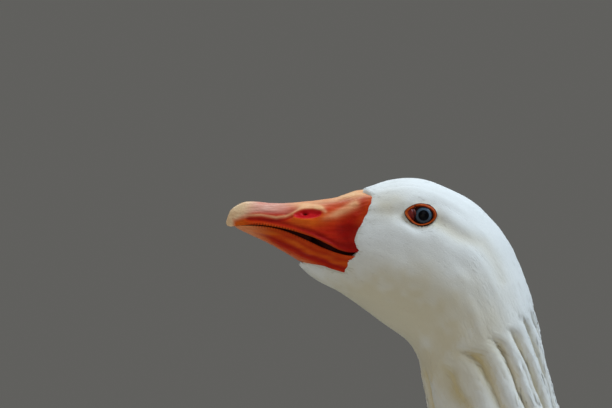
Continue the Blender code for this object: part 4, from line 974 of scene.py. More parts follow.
def build_mouth():
    """Lining between the mandibles, seen through the gap, painted almost black as shade with some deep red."""
    ys = np.linspace(-80.0, -26.0, 60)
    cols = 48
    a = np.linspace(0, 2 * math.pi, cols, endpoint=False)[None]
    low, top = lower_rim(ys)[:, None] - 1.4, tomium(ys)[:, None] + 1.2
    half = bill_half_width(ys)[:, None] * 0.93 - 1.3
    near = ys > -54
    t, p = locate(ys[near], (lower_rim(ys) + tomium(ys))[near] / 2)
    fit = body(t, p)[:, 0] - 0.75 - 2.6 * smooth(-32.2, -29.8, ys[near])
    half[near, 0] = np.minimum(half[near, 0], fit)
    half = np.maximum(half, 0.5)
    c, s = np.cos(a), np.sin(a)
    x = half * np.sign(c) * np.abs(c) ** 0.25
    z = (low + top) / 2 + (top - low) / 2 * np.sign(s) * np.abs(s) ** 0.5
    grid = np.stack([x, np.broadcast_to(ys[:, None], x.shape), z], -1)
    rows = len(ys)
    verts = np.concatenate([grid.reshape(-1, 3), grid[0].mean(0)[None], grid[-1].mean(0)[None]])
    k = np.arange(cols)
    caps = [np.stack([np.full(cols, rows * cols), k, (k + 1) % cols], -1),
            np.stack([np.full(cols, rows * cols + 1), (rows - 1) * cols + (k + 1) % cols, (rows - 1) * cols + k], -1)]
    o = mesh_object("mouth_lining", verts, [grid_faces(rows, cols, wrap=True, flip=True)] + caps)
    for key in ("warm", "deep_red_and_groove_shade", "light", "pink", "nail", "wet", "dark"):
        # painted almost black as shade, with some deep red
        f = {"dark": 0.97, "deep_red_and_groove_shade": 0.5}.get(key, 0.0)
        attribute(o, key, np.full(len(verts), f))
    return o


dress(build_mouth(), BILL, "orange_bill")


# ------------------------------------------------------------------ eyes and lids
def lid_outline(a, length, height, cy, cz):
    """Almond outline, drawn to a slightly raised corner in front."""
    c, s = np.cos(a), np.sin(a)
    front = np.clip(-c, 0, 1)
    return cy + length * c, EYE_HEIGHT + cz + height * s * (1 - 0.34 * front ** 2) + 0.9 * front ** 2.5


def build_eye(side, word):
    rows, cols = 72, 80
    v = np.linspace(0, math.pi * 0.62, rows)[:, None]
    u = np.linspace(0, 2 * math.pi, cols, endpoint=False)[None]
    r = EYE_BALL_R * np.sin(v)
    x = EYE_BALL_X + EYE_BALL_R * np.cos(v) + 0.55 * np.clip(1 - (r / 4.3) ** 2, 0, 1) + 0 * u
    y, z = r * np.cos(u), EYE_HEIGHT + r * np.sin(u)
    grid = np.stack([side * x, y, z], -1)
    verts = np.concatenate([grid[1:].reshape(-1, 3), grid[0, :1], [[side * (EYE_BALL_X - 2.5), 0.0, EYE_HEIGHT]]])
    m = rows - 1
    k = np.arange(cols)
    front = np.stack([np.full(cols, m * cols), k, (k + 1) % cols], -1)
    back = np.stack([np.full(cols, m * cols + 1), (m - 1) * cols + (k + 1) % cols, (m - 1) * cols + k], -1)
    quads = grid_faces(m, cols, wrap=True, flip=True)
    if side < 0:
        front, back, quads = front[:, ::-1], back[:, ::-1], quads[:, ::-1]
    o = mesh_object("eyeball_" + word, verts, [quads, front, back])
    iris_y, iris_z = verts[:, 1] + 0.9, verts[:, 2] - EYE_HEIGHT - 0.1
    rr = np.hypot(iris_y, iris_z)
    rr[-1] = 6.0
    attribute(o, "iris_r", rr)
    attribute(o, "iris_a", np.arctan2(iris_z, iris_y))
    dress(o, EYE, "blue_eye", "eye_" + word)

    # lids: a rolled rim that rises from the face and turns in over the ball
    steps, prof = 120, 22
    a = np.linspace(0, 2 * math.pi, steps, endpoint=False)[:, None]
    oy, oz = lid_outline(a, LID_OUTER[0] + 0.25, LID_OUTER[1] + 0.15, LID_CENTRE[0], LID_CENTRE[1] + 0.05)
    iy, iz = lid_outline(a, 5.95, 4.12, -2.15, 0.25)
    b, _ = surface_at(oy, oz)
    ox = b[:, 0][:, None] - 0.9
    bi, _ = surface_at(iy, iz)
    ir = np.hypot(iy, iz - EYE_HEIGHT)
    ball_x = EYE_BALL_X + np.sqrt(np.maximum(EYE_BALL_R ** 2 - ir ** 2, 0.0)) + 0.55 * np.clip(1 - (ir / 4.3) ** 2, 0, 1)
    face_x = bi[:, 0][:, None] - 1.3
    ix = np.where(ir < 6.2, np.maximum(ball_x + 0.05, face_x - 1.6), face_x - 0.6)
    f = np.linspace(0, 1, prof)[None]
    yy, zz = oy + (iy - oy) * f, oz + (iz - oz) * f
    rise = 0.80 * np.sin(math.pi * np.clip(f * 1.02, 0, 1)) ** 0.8
    xx = ox + (ix + 0.25 - ox) * smooth(0.0, 1.0, f) + rise
    wrinkle = 0.10 * noise(np.stack([yy * 1.3, zz * 1.3, a * 0 + f * 5], -1), 61) + 0.13 * np.sin(2 * math.pi * f * 2.0) * smooth(0.1, 0.4, f) * smooth(1.0, 0.7, f)
    xx = xx + wrinkle
    outer = np.stack([side * xx, yy, zz], -1)
    # the inner wall goes back along the ball, the hidden side closes the rim
    depth = np.array([0.5, 1.6, 3.2])[None]
    wy, wz = np.repeat(iy, 3, 1) + (iy + 2.15) * 0.02, np.repeat(iz, 3, 1)
    inner = np.stack([side * (ix + 0.25 - depth), wy, wz], -1)
    back = np.stack([side * (ox - 3.2), oy, oz], -1)
    grid = np.concatenate([outer, inner, back], 1)
    q = grid_faces(steps, grid.shape[1], wrap=True)
    i = np.arange(steps)[:, None]
    cols2 = grid.shape[1]
    j = np.arange(cols2)[None]
    q = np.stack([i * cols2 + j, ((i + 1) % steps) * cols2 + j, ((i + 1) % steps) * cols2 + (j + 1) % cols2, i * cols2 + (j + 1) % cols2], -1).reshape(-1, 4)
    if side < 0:
        q = q[:, ::-1]
    lid = mesh_object("eyelid_" + word, grid.reshape(-1, 3), q)
    cols2_edge = np.concatenate([np.broadcast_to(smooth(0.34, 0.0, f), (steps, prof)), np.zeros((steps, 4))], 1)
    rim = np.concatenate([np.broadcast_to(0.8 * smooth(0.72, 0.98, f), (steps, prof)), np.ones((steps, 3)), np.zeros((steps, 1))], 1)
    attribute(lid, "edge", cols2_edge)
    attribute(lid, "rim", rim)
    dress(lid, LID, "orange_lid", "lid_" + word)

    # the small fleshy corner in front of the ball
    bm = bmesh.new()
    bmesh.ops.create_icosphere(bm, subdivisions=4, radius=1.0)
    co = np.array([p.co for p in bm.verts])
    fc = np.array([[w.index for w in p.verts] for p in bm.faces])
    bm.free()
    fold = 0.12 * np.sin(co[:, 1] * 9 + co[:, 2] * 3)
    cen = surface_at([-5.6], [EYE_HEIGHT + 0.45])[0][0]
    co = co * (1 + fold[:, None] * 0.5)
    pos = np.stack([side * (cen[0] - 3.1 + 1.75 * co[:, 0] * side * side), -6.7 + 2.5 * co[:, 1], EYE_HEIGHT + 0.5 + 3.1 * co[:, 2]], -1)
    if side < 0:
        fc = fc[:, ::-1]
    c = mesh_object("eye_corner_" + word, pos, fc)
    attribute(c, "edge", smooth(-0.2, 0.9, co[:, 1]))
    attribute(c, "rim", 0.6 * bump(np.sin(co[:, 1] * 9 + co[:, 2] * 3) - 1, 0.4))
    dress(c, CARUNCLE, "orange_lid")


for _side, _word in ((1, "left"), (-1, "right")):
    build_eye(_side, _word)

# ------------------------------------------------------------------ the plumage surface, sampled once
class Sheet:
    """The outline of the plumage with its relief on a grid of (t, phi), and what feathers need to know there: place,
    normal, tangents, painted shade and mm per unit of t and phi."""

    def __init__(self, t0, t1, step, around, with_wings):
        self.t0, self.step, self.around = t0, step, around
        t = np.arange(t0, t1 + step, step)
        ph = np.arange(around) * 2 * math.pi / around
        T, P = np.meshgrid(t, ph, indexing="ij")
        b, du, dv, tt, bb, n = body_frame(T, P)
        shift, tint = relief(T, P, b)
        if with_wings:
            shift = shift + wing_rise(T, P) * (T > W_FRONT)
        p = b + shift[..., None] * n
        gt = np.gradient(p, axis=0)
        gp = np.roll(p, -1, 1) - np.roll(p, 1, 1)
        m = unit(np.cross(gp, gt))
        self.data = np.concatenate([p, m, tt, bb, tint[..., None], du[..., None], dv[..., None], b], -1).astype(np.float32)
        self.last = len(t) - 1.001

    def at(self, t, phi):
        f = np.clip((np.asarray(t, float) - self.t0) / self.step, 0, self.last)
        g = (np.asarray(phi, float) / (2 * math.pi) % 1.0) * self.around
        i, j = np.floor(f).astype(int), np.floor(g).astype(int) % self.around
        k = (j + 1) % self.around
        f, g = (f - i)[..., None].astype(np.float32), (g - np.floor(g))[..., None].astype(np.float32)
        d = self.data
        return (d[i, j] * (1 - f) * (1 - g) + d[i + 1, j] * f * (1 - g) + d[i, k] * (1 - f) * g + d[i + 1, k] * f * g)


def even_places(t0, t1, row, col, most=1.5):
    """Staggered, jittered roots at an even spacing over the body."""
    ts = np.arange(t0, t1, row / most)
    grid = np.linspace(0, 2 * math.pi, 241)
    T, P = np.meshgrid(ts, grid, indexing="ij")
    b = body(T, P)
    arc = np.concatenate([np.zeros((len(ts), 1)), np.cumsum(np.linalg.norm(np.diff(b, axis=1), axis=-1), axis=1)], 1)
    out_t, out_p = [], []
    for i, t in enumerate(ts):
        n = max(6, int(round(arc[i, -1] / col)))
        at = (np.arange(n) + 0.5 * (i % 2) + rng.uniform(-0.26, 0.26, n)) / n * arc[i, -1]
        out_p.append(np.interp(at % arc[i, -1], arc[i], grid))
        out_t.append(t + rng.uniform(-0.35, 0.35, n) * row / most)
    t, p = np.concatenate(out_t), np.concatenate(out_p)
    e = 0.6
    du = np.linalg.norm(body(t + e, p) - body(t - e, p), axis=-1) / (2 * e)
    keep = rng.random(len(t)) < np.clip(du / most, 0, 1)
    return t[keep], p[keep]


T_SPAN = (_ts[0], _ts[-1])


def bake_uv(t, phi, across, along):
    u = (np.asarray(phi) / (2 * math.pi) % 1.0) * 0.72 + 0.01
    v = np.clip((t - T_SPAN[0]) / (T_SPAN[1] - T_SPAN[0]), 0, 1) * 0.98 + 0.01
    return np.stack([u[:, None] + 0.0015 * across, v[:, None] + 0.0015 * along], -1)


# the last faces of each are the underside
SMALL = dict(faces=np.array([[0, 1, 3], [0, 3, 2], [1, 4, 3], [3, 4, 2], [0, 2, 1], [1, 2, 4]]), verts=5, upper=4)
LARGE = dict(faces=np.array([[0, 1, 2], [0, 2, 3], [1, 4, 5], [1, 5, 2], [2, 5, 6], [2, 6, 3], [4, 7, 5], [5, 7, 6],
                             [0, 3, 1], [1, 3, 6], [1, 6, 4], [4, 6, 7]]), verts=8, upper=8)


def grow(sheet, t, phi, length, width, dphi, h, kind, curl=0.0, side_tilt=0.20, tip_tilt=0.16):
    """Closed tufts lying along the plumage. h holds root, middle and tip heights."""
    root = sheet.at(t, phi)
    du = np.maximum(root[:, 13], 0.15)
    s_mid = 0.50 if kind is SMALL else 0.36
    mid_t, mid_p = t + s_mid * length / du, phi + s_mid * dphi
    tip_t, tip_p = t + length / du, phi + dphi
    mid, tip = sheet.at(mid_t, mid_p), sheet.at(tip_t, tip_p)
    P = lambda q, height: q[:, 0:3] + height[:, None] * q[:, 3:6]
    R, M, T = P(root, h[0]), P(mid, h[1]), P(tip, h[2])
    F = unit(T - R)
    S = unit(np.cross(F, mid[:, 3:6]))
    sway = (curl * width)[:, None] * S if np.ndim(curl) else 0.0
    T = T + sway
    w = 0.5 * width[:, None]
    if kind is SMALL:
        drop = 0.07 * width[:, None] * mid[:, 3:6]
        verts = np.stack([R, M - w * S - drop, M + w * S - drop, M + 0.10 * width[:, None] * mid[:, 3:6], T], 1)
        nm = mid[:, 3:6]
        nrm = np.stack([root[:, 3:6] - 0.15 * F, nm - side_tilt * S, nm + side_tilt * S, nm, tip[:, 3:6] + tip_tilt * F], 1)
        across, along = np.array([0, -1, 1, 0, 0.0]), np.array([-1, 0, 0, 0, 1.0])
    else:
        high = sheet.at(t + 0.74 * length / du, phi + 0.74 * dphi)
        H = P(high, h[1] + (h[2] - h[1]) * 0.60) + sway * 0.45
        drop, drop2 = 0.09 * width[:, None] * mid[:, 3:6], 0.08 * width[:, None] * high[:, 3:6]
        verts = np.stack([R, M - w * S - drop, M + 0.06 * width[:, None] * mid[:, 3:6], M + w * S - drop,
                          H - 0.80 * w * S - drop2, H + 0.06 * width[:, None] * high[:, 3:6], H + 0.80 * w * S - drop2, T], 1)
        nm, nh = mid[:, 3:6], high[:, 3:6]
        nrm = np.stack([root[:, 3:6] - 0.15 * F, nm - side_tilt * S, nm, nm + side_tilt * S,
                        nh - side_tilt * S + 0.1 * F, nh + 0.1 * F, nh + side_tilt * S + 0.1 * F, tip[:, 3:6] + tip_tilt * F], 1)
        across, along = np.array([0, -1, 0, 1, -0.8, 0, 0.8, 0.0]), np.array([-1, -0.3, -0.3, -0.3, 0.5, 0.5, 0.5, 1.0])
    shade = rng.random(len(t))
    return dict(verts=verts, normals=nrm, tint=np.stack([root[:, 12] if j == 0 else (tip[:, 12] if j == kind["verts"] - 1 else mid[:, 12])
                                                         for j in range(kind["verts"])], 1),
                shade=np.repeat(shade[:, None], kind["verts"], 1), uv=bake_uv(t, phi, across[None], along[None]), kind=kind)


def tuft_object(name, batch, pick):
    """One mesh from the picked tufts of a batch."""
    n = int(pick.sum())
    k = batch["kind"]["verts"]
    tris = batch["kind"]["faces"][:, ::-1]
    faces = (tris[None] + (np.arange(n) * k)[:, None, None]).reshape(-1, 3)
    v = batch["verts"][pick].reshape(-1, 3)
    o = mesh_object(name, v, faces)
    attribute(o, "tint", batch["tint"][pick])
    attribute(o, "shade", batch["shade"][pick])
    uv_map(o, "OFBake", batch["uv"][pick].reshape(-1, 2))
    corner = batch["normals"][pick][:, tris]
    corner[:, batch["kind"]["upper"]:] *= -1
    corner_normals(o, corner.reshape(-1, 3))
    return o


NECK_T = station("neck_top")
FINE_END = station("neck_high", 22.0)
fine = Sheet(1.0, FINE_END + 34, 0.5, 720, False)


def head_and_neck():
    t, phi = even_places(1.6, FINE_END, 0.62, 0.56)
    # on the neck the feathers are larger, so fewer are kept
    base = fine.at(t, phi)
    p = base[:, 15:18]
    big = smooth(NECK_T - 34, NECK_T + 20, t)
    keep = rng.random(len(t)) < (1 - 0.45 * big)
    sd = feathered(p[:, 1], p[:, 2])
    ragged = 0.15 + 0.55 * noise(p / 0.9, 71) + 0.25 * noise(p / 2.2, 72)
    keep &= (sd > ragged) | (t > 95)
    e = eye_distance(p[:, 1], p[:, 2])
    side = (np.abs(p[:, 0]) > 6) & (t < 120)
    keep &= ~(side & (e < 1.02))
    t, phi, base, p, sd, e, side, big = (a[keep] for a in (t, phi, base, p, sd, e, side, big))
    n = len(t)
    length = np.interp(t, [0, 25, 60, 100, 140, 190, 240], [3.2, 3.8, 4.6, 5.4, 7.4, 9.0, 10.5])
    near_bill = np.where(t < 95, 0.70 + 0.30 * smooth(0.0, 10.0, sd), 1.0)
    near_eye = np.where(side, 0.52 + 0.48 * smooth(1.0, 2.3, e), 1.0)
    length = length * np.minimum(near_bill, near_eye) * rng.uniform(0.82, 1.2, n)
    width = np.clip(0.150 * length + 0.36, 0.80, 1.9) * rng.uniform(0.88, 1.2, n)
    # tufts in front of the eye must not reach over the lids
    v, strength, flow = furrow(t, phi, p)
    w = (phi + math.pi) % (2 * math.pi) - math.pi
    du, dv = np.maximum(base[:, 13], 0.15), np.maximum(base[:, 14], 2.0)
    lock = np.stack([t / 9.0, phi * 26.0, 0 * t], -1)
    turn = 0.16 * noise(lock, 81) + 0.10 * noise(np.stack([t / 26.0, phi * 5.0, 0 * t], -1), 82)
    # the face feathers part above and below the eye
    dy, dz = p[:, 1] - LID_CENTRE[0], p[:, 2] - EYE_HEIGHT
    part = np.where(side, 0.55 * bump(e - 1.1, 0.75) * np.clip(-dy / 6.0, -0.6, 1.0) * np.sign(dz + 1e-6) * np.clip(np.abs(dz) / 3.0, 0, 1), 0.0)
    up = -np.sign(w)                      # towards the crown
    angle = turn + up * part
    dphi = length * np.sin(angle) / dv - np.sign(w) * np.radians(flow) * length / du * 0.9
    reach = fine.at(t + length / du, phi + dphi)
    short = np.where(side & (eye_distance(reach[:, 16], reach[:, 17]) < 0.97), 0.45, 1.0)
    length, dphi = length * short, dphi * short
    clump = noise(np.stack([t / 6.0, np.cos(phi) * 17, np.sin(phi) * 17], -1), 91)
    clump2 = noise(np.stack([t / 2.6, np.cos(phi) * 40, np.sin(phi) * 40], -1), 92)
    deep = depth_of_coat(t)
    scale = np.clip(length / 6.0, 0.3, 1.6)
    tip = (0.02 + 0.13 * clump + 0.04 * clump2 + rng.uniform(-0.03, 0.035, n)) * scale + 0.02
    h = (-deep - 0.12, tip + 0.02 * scale, tip - 0.15 * scale)
    batch = grow(fine, t, phi, length, width, dphi, h, SMALL, curl=rng.uniform(-0.3, 0.3, n))
    out = [(batch, t)]
    # longer pointed locks along the crests of the neck and, finer, over the jowl
    t, phi = even_places(NECK_T - 62.0, FINE_END + 2, 2.6, 1.7)
    base = fine.at(t, phi)
    p = base[:, 15:18]
    v, strength, flow = furrow(t, phi, p)
    low = smooth(NECK_T - 60, NECK_T - 5, t)
    keep = rng.random(len(t)) < np.clip(0.25 + 0.75 * low, 0, 1) * (1 - 0.55 * v * strength)
    t, phi, base, p, v, strength, flow, low = (a[keep] for a in (t, phi, base, p, v, strength, flow, low))
    n = len(t)
    du, dv = np.maximum(base[:, 13], 0.15), np.maximum(base[:, 14], 2.0)
    w = (phi + math.pi) % (2 * math.pi) - math.pi
    length = (5.2 + 4.6 * low) * rng.uniform(0.75, 1.25, n)
    width = (1.1 + 0.9 * low) * rng.uniform(0.8, 1.2, n)
    angle = 0.22 * noise(np.stack([t / 7.0, phi * 20.0, 0 * t], -1), 83)
    dphi = length * np.sin(angle) / dv - np.sign(w) * np.radians(flow) * length / du
    tip = (0.10 + 0.26 * low) * rng.uniform(0.2, 1.25, n) + 0.12 * noise(np.stack([t / 5.0, phi * 18.0, 0 * t], -1), 93)
    h = (-depth_of_coat(t) - 0.2, tip, tip - 0.10 - 0.12 * low)
    batch = grow(fine, t, phi, length, width, dphi, h, LARGE, curl=rng.uniform(-0.45, 0.45, n))
    out.append((batch, t))
    return out


_serial = 0
for _batch, _t in head_and_neck():
    _per = len(_batch["kind"]["faces"])
    _order = np.sort(_t)
    _parts = max(1, math.ceil(len(_t) * _per / 175000.0))
    _cuts = [_order[min(len(_order) - 1, int(len(_order) * i / _parts))] for i in range(_parts)] + [1e9]
    _cuts[0] = -1e9
    for _i in range(_parts):
        _serial += 1
        _o = tuft_object("down_%02d" % _serial, _batch, (_t >= _cuts[_i]) & (_t < _cuts[_i + 1]))
        dress(_o, COAT, "white_plumage")

# ------------------------------------------------------------------ larger feathers: lower neck, trunk, wings, tail and thighs
THIGH_FLIP = (False, True)
RUMP_FLIP = (False, True)
coarse = Sheet(FINE_END - 30, T_LAST, 2.0, 420, True)
S_ROWS = np.array([0.0, 0.22, 0.44, 0.64, 0.80, 0.91, 0.97, 1.0])
C_COLS = np.array([-1.0, -0.55, 0.0, 0.55, 1.0])


def vane_profile(s, tip):
    """Half width of a vane along its length: quill end, broad middle, rounded end."""
    base = 0.42 + 0.58 * smooth(0.0, 0.38, s)
    q = np.clip((s - tip) / (1 - tip), 0, 1)
    return base * np.sqrt(np.clip(1 - q ** 2.1, 0.012, 1))


def vanes(surface, n, length, width, root_h, tip_h, tip=0.70, twist=0.0, camber=0.10, thick=0.30, bend=None, edge_tilt=0.24, uv_at=None, tuck=0.9):
    """Closed feathers. surface(s, c) gives places, normals and painted shade, (n, rows, cols), for mm along and across
    each feather, and the directions along it."""
    R, C = len(S_ROWS), len(C_COLS)
    s, c = S_ROWS[None, :, None], C_COLS[None, None, :]
    L, W = np.reshape(length, (-1, 1, 1)) * np.ones((n, 1, 1)), np.reshape(width, (-1, 1, 1)) * np.ones((n, 1, 1))
    half = 0.5 * W * vane_profile(s, np.reshape(tip, (-1, 1, 1)))
    ragged = 1 + 0.07 * rng.uniform(-1, 1, (n, R, 1)) * np.abs(c)
    along = L * (s - 0.030 * np.abs(c) ** 2 * smooth(0.5, 1.0, s))
    across = half * c * ragged
    p, nrm, tint, F = surface(along, across)
    S = unit(np.cross(F, nrm))
    rh, th = np.reshape(root_h, (-1, 1, 1)), np.reshape(tip_h, (-1, 1, 1))
    h = rh + (th - rh) * s ** 0.75 - tuck * smooth(0.76, 1.0, s) + camber * half * (1 - c ** 2) * 0.9 + np.reshape(twist, (-1, 1, 1)) * across
    top = p + h[..., None] * nrm
    under = p + (h - thick)[..., None] * nrm
    n_top = unit(nrm + edge_tilt * c[..., None] * S + 0.30 * smooth(0.75, 1.0, s)[..., None] * F)
    inner = under[:, 1:-1, 1:-1].reshape(n, -1, 3)
    verts = np.concatenate([top.reshape(n, -1, 3), inner], 1)
    nn = np.concatenate([n_top.reshape(n, -1, 3), -nrm[:, 1:-1, 1:-1].reshape(n, -1, 3)], 1)
    t3 = tint.reshape(n, R, C)
    tt = np.concatenate([t3.reshape(n, -1), t3[:, 1:-1, 1:-1].reshape(n, -1)], 1)
    shade = np.repeat(rng.random((n, 1)), verts.shape[1], 1)
    u = np.broadcast_to(0.5 + 0.5 * c * np.ones((n, R, 1)), (n, R, C))
    v = np.broadcast_to(s * L / 30.0 * np.ones((n, 1, C)), (n, R, C))
    vane_uv = np.stack([u, v], -1)
    vane_uv = np.concatenate([vane_uv.reshape(n, -1, 2), vane_uv[:, 1:-1, 1:-1].reshape(n, -1, 2)], 1)
    patch = np.stack([np.broadcast_to(0.0015 * c, (n, R, C)), np.broadcast_to(0.003 * (s - 0.5), (n, R, C))], -1)
    patch = np.concatenate([patch.reshape(n, -1, 2), patch[:, 1:-1, 1:-1].reshape(n, -1, 2)], 1)
    return dict(verts=verts, normals=nn, tint=tt, shade=shade, vane=vane_uv, uv=uv_at[:, None, :] + patch)


def _vane_quads():
    R, C = len(S_ROWS), len(C_COLS)
    top = np.arange(R * C).reshape(R, C)
    low = top.copy()
    low[1:-1, 1:-1] = R * C + np.arange((R - 2) * (C - 2)).reshape(R - 2, C - 2)
    out = []
    for i in range(R - 1):
        for j in range(C - 1):
            out.append([top[i, j], top[i, j + 1], top[i + 1, j + 1], top[i + 1, j]])
            out.append([low[i, j], low[i + 1, j], low[i + 1, j + 1], low[i, j + 1]])
    return np.array(out)


VANE_QUADS = _vane_quads()
_coat_count = 0


def vane_objects(name, batches, mat=None, flip=False, most=170000):
    """Joins vane batches into pieces under the triangle limit."""
    global _coat_count
    keys = ("verts", "normals", "tint", "shade", "vane", "uv")
    joined = {k: np.concatenate([b[k] for b in batches]) for k in keys}
    per = len(VANE_QUADS) * 2
    n = len(joined["verts"])
    parts = max(1, math.ceil(n * per / most))
    for i in range(parts):
        a, b = n * i // parts, n * (i + 1) // parts
        v = joined["verts"][a:b]
        k = v.shape[1]
        quads = VANE_QUADS[:, ::-1] if flip else VANE_QUADS
        faces = (quads[None] + (np.arange(b - a) * k)[:, None, None]).reshape(-1, 4)
        o = mesh_object("%s_%02d" % (name, i + 1), v.reshape(-1, 3), faces)
        attribute(o, "tint", joined["tint"][a:b])
        attribute(o, "shade", joined["shade"][a:b])
        uv_map(o, "OFBake", joined["uv"][a:b].reshape(-1, 2))
        uv_map(o, "Vane", joined["vane"][a:b].reshape(-1, 2))
        corner = joined["normals"][a:b][:, quads]
        edge = (np.arange(len(quads)) % 2 == 1)[:, None] & (quads < len(S_ROWS) * len(C_COLS))
        corner[:, edge] *= -1
        corner_normals(o, corner.reshape(-1, 3))
        dress(o, mat or VANE, "white_plumage")
        _coat_count += 1


def on_body(t, phi, turn):
    """A surface for vanes() that starts at (t, phi) on the trunk and heads tailward,
    turned by an angle towards the back line."""
    root = coarse.at(t, phi)
    du, dv = np.maximum(root[:, 13], 0.25), np.maximum(root[:, 14], 6.0)
    w = (phi + math.pi) % (2 * math.pi) - math.pi
    up = -np.sign(w + 1e-9)
    ct, st = np.cos(turn), np.sin(turn)

    def surface(along, across):
        a, b = along / du[:, None, None], across
        # along runs with +t turned by "turn"; across is at right angles to it
        dt = (along * ct[:, None, None] - across * (st * up)[:, None, None]) / du[:, None, None]
        dp = (along * (st * up)[:, None, None] + across * ct[:, None, None]) / dv[:, None, None]
        q = coarse.at(t[:, None, None] + dt, phi[:, None, None] + dp)
        F = unit(q[..., 6:9] * ct[:, None, None, None] + q[..., 9:12] * (st * up)[:, None, None, None])
        return q[..., 0:3], q[..., 3:6], q[..., 12], F
    return surface


def bare_uv(t, phi):
    u = (np.asarray(phi) / (2 * math.pi) % 1.0) * 0.72 + 0.01
    v = np.clip((t - T_SPAN[0]) / (T_SPAN[1] - T_SPAN[0]), 0, 1) * 0.98 + 0.01
    return np.stack([u, v], -1)


def degrees_from_back(phi):
    return np.degrees(np.abs((phi + math.pi) % (2 * math.pi) - math.pi))


def wing_share(t, phi):
    """(a, b) on the folded wing: a from front to back, b from 1 at its top to -1 at its lower edge."""
    a = (t - W_FRONT) / (W_BACK - W_FRONT)
    plan = _plan(np.clip(a, 0, 1))
    w = degrees_from_back(phi)
    return a, 1 - 2 * (w - plan[:, 0]) / np.maximum(plan[:, 1] - plan[:, 0], 1e-3)


def lower_neck():
    out = []
    for t0, t1, row, col, L0, L1, w0, w1 in ((FINE_END - 5, station("neck_low", 20), 2.4, 1.8, 11.5, 14.0, 2.3, 3.2),
                                              (station("neck_low", 14), station("shoulders", 6), 3.5, 3.0, 15.0, 21.0, 4.2, 6.8)):
        t, phi = even_places(t0, t1, row, col)
        base = coarse.at(t, phi)
        p = base[:, 15:18]
        v, strength, flow = furrow(t, phi, p)
        n = len(t)
        f = (t - t0) / (t1 - t0)
        length = (L0 + (L1 - L0) * f) * rng.uniform(0.82, 1.18, n)
        width = (w0 + (w1 - w0) * f) * rng.uniform(0.85, 1.15, n)
        du, dv = np.maximum(base[:, 13], 0.2), np.maximum(base[:, 14], 3.0)
        w = (phi + math.pi) % (2 * math.pi) - math.pi
        angle = 0.16 * noise(np.stack([t / 14.0, phi * 9.0, 0 * t], -1), 85)
        dphi = length * np.sin(angle) / dv - np.sign(w) * np.radians(flow) * length / du
        tip = 0.25 + 0.35 * rng.random(n) + 0.30 * noise(np.stack([t / 9.0, phi * 14.0, 0 * t], -1), 95)
        h = (-depth_of_coat(t) - 0.3, tip - 0.15, tip - 0.75)
        batch = grow(coarse, t, phi, length, width, dphi, h, LARGE, curl=rng.uniform(-0.2, 0.2, n))
        out.append((batch, t))
    return out


for _batch, _t in lower_neck():
    _per = len(_batch["kind"]["faces"])
    _order = np.sort(_t)
    _parts = max(1, math.ceil(len(_t) * _per / 175000.0))
    _cuts = [_order[min(len(_order) - 1, int(len(_order) * i / _parts))] for i in range(_parts)] + [1e9]
    _cuts[0] = -1e9
    for _i in range(_parts):
        _serial += 1
        _o = tuft_object("down_%02d" % _serial, _batch, (_t >= _cuts[_i]) & (_t < _cuts[_i + 1]))
        dress(_o, COAT, "white_plumage")


def trunk_feathers():
    """Contour feathers of breast, belly, back and flanks, set low where the folded wings cover them, and a second,
    lower layer over the back.
    """
    t, phi = even_places(station("shoulders", -22), T_LAST - 24, 10.5, 10.0, most=1.3)
    a, b = wing_share(t, phi)
    w = degrees_from_back(phi)
    on_wing = (a > 0.05) & (a < 0.93) & (np.abs(b) < 0.92)
    n = len(t)
    late = smooth(station("breast"), station("belly"), t)
    size = np.interp(t, [station("shoulders", -30), station("shoulders"), station("breast"), station("belly"), station("vent"), T_LAST],
                     [0.55, 0.68, 0.86, 1.05, 1.0, 0.95]) * rng.uniform(0.9, 1.12, n)
    length, width = 38.0 * size, 19.0 * size
    turn = 0.10 * noise(np.stack([t / 40, phi * 3, 0 * t], -1), 96) + rng.uniform(-0.05, 0.05, n)
    # under the wing's edge the flank feathers sweep up over it
    flank = smooth(-1.9, -1.0, b) * (np.abs(b) > 0.85) * (a > 0.0) * (a < 0.8) * (b < 0)
    dip = smooth(station("breast"), station("shoulders"), t) * smooth(110, 70, w)
    tip_h = np.where(on_wing & (np.abs(b) < 0.78), -0.9, (0.55 + 0.45 * rng.random(n)) * (1 - 0.6 * dip) + 1.2 * flank)
    batch = vanes(on_body(t, phi, turn), n, length * np.where(on_wing, 1.15, 1.0), width * np.where(on_wing, 1.25, 1.0), -depth_of_coat(t) * 0.6 - 0.5, tip_h,
                  tip=0.62, twist=rng.uniform(-0.02, 0.02, n), camber=0.07, thick=0.30, edge_tilt=0.20, uv_at=bare_uv(t, phi), tuck=1.25)
    # a second, lower layer over the back, where the feathers part over the wings' edges
    t2, phi2 = even_places(station("shoulders", -30), station("belly", 60), 9.0, 9.0, most=1.3)
    pick = degrees_from_back(phi2) < 62
    t2, phi2 = t2[pick], phi2[pick]
    m = len(t2)
    size2 = np.interp(t2, [station("shoulders", -30), station("shoulders"), station("breast")], [0.62, 0.78, 1.0])
    fill = vanes(on_body(t2, phi2, rng.uniform(-0.05, 0.05, m)), m, 36.0 * size2, 24.0 * size2, -depth_of_coat(t2) * 0.6 - 0.6, -0.75,
                 tip=0.62, camber=0.03, thick=0.25, edge_tilt=0.1, uv_at=bare_uv(t2, phi2), tuck=0.6)
    return [batch, fill]


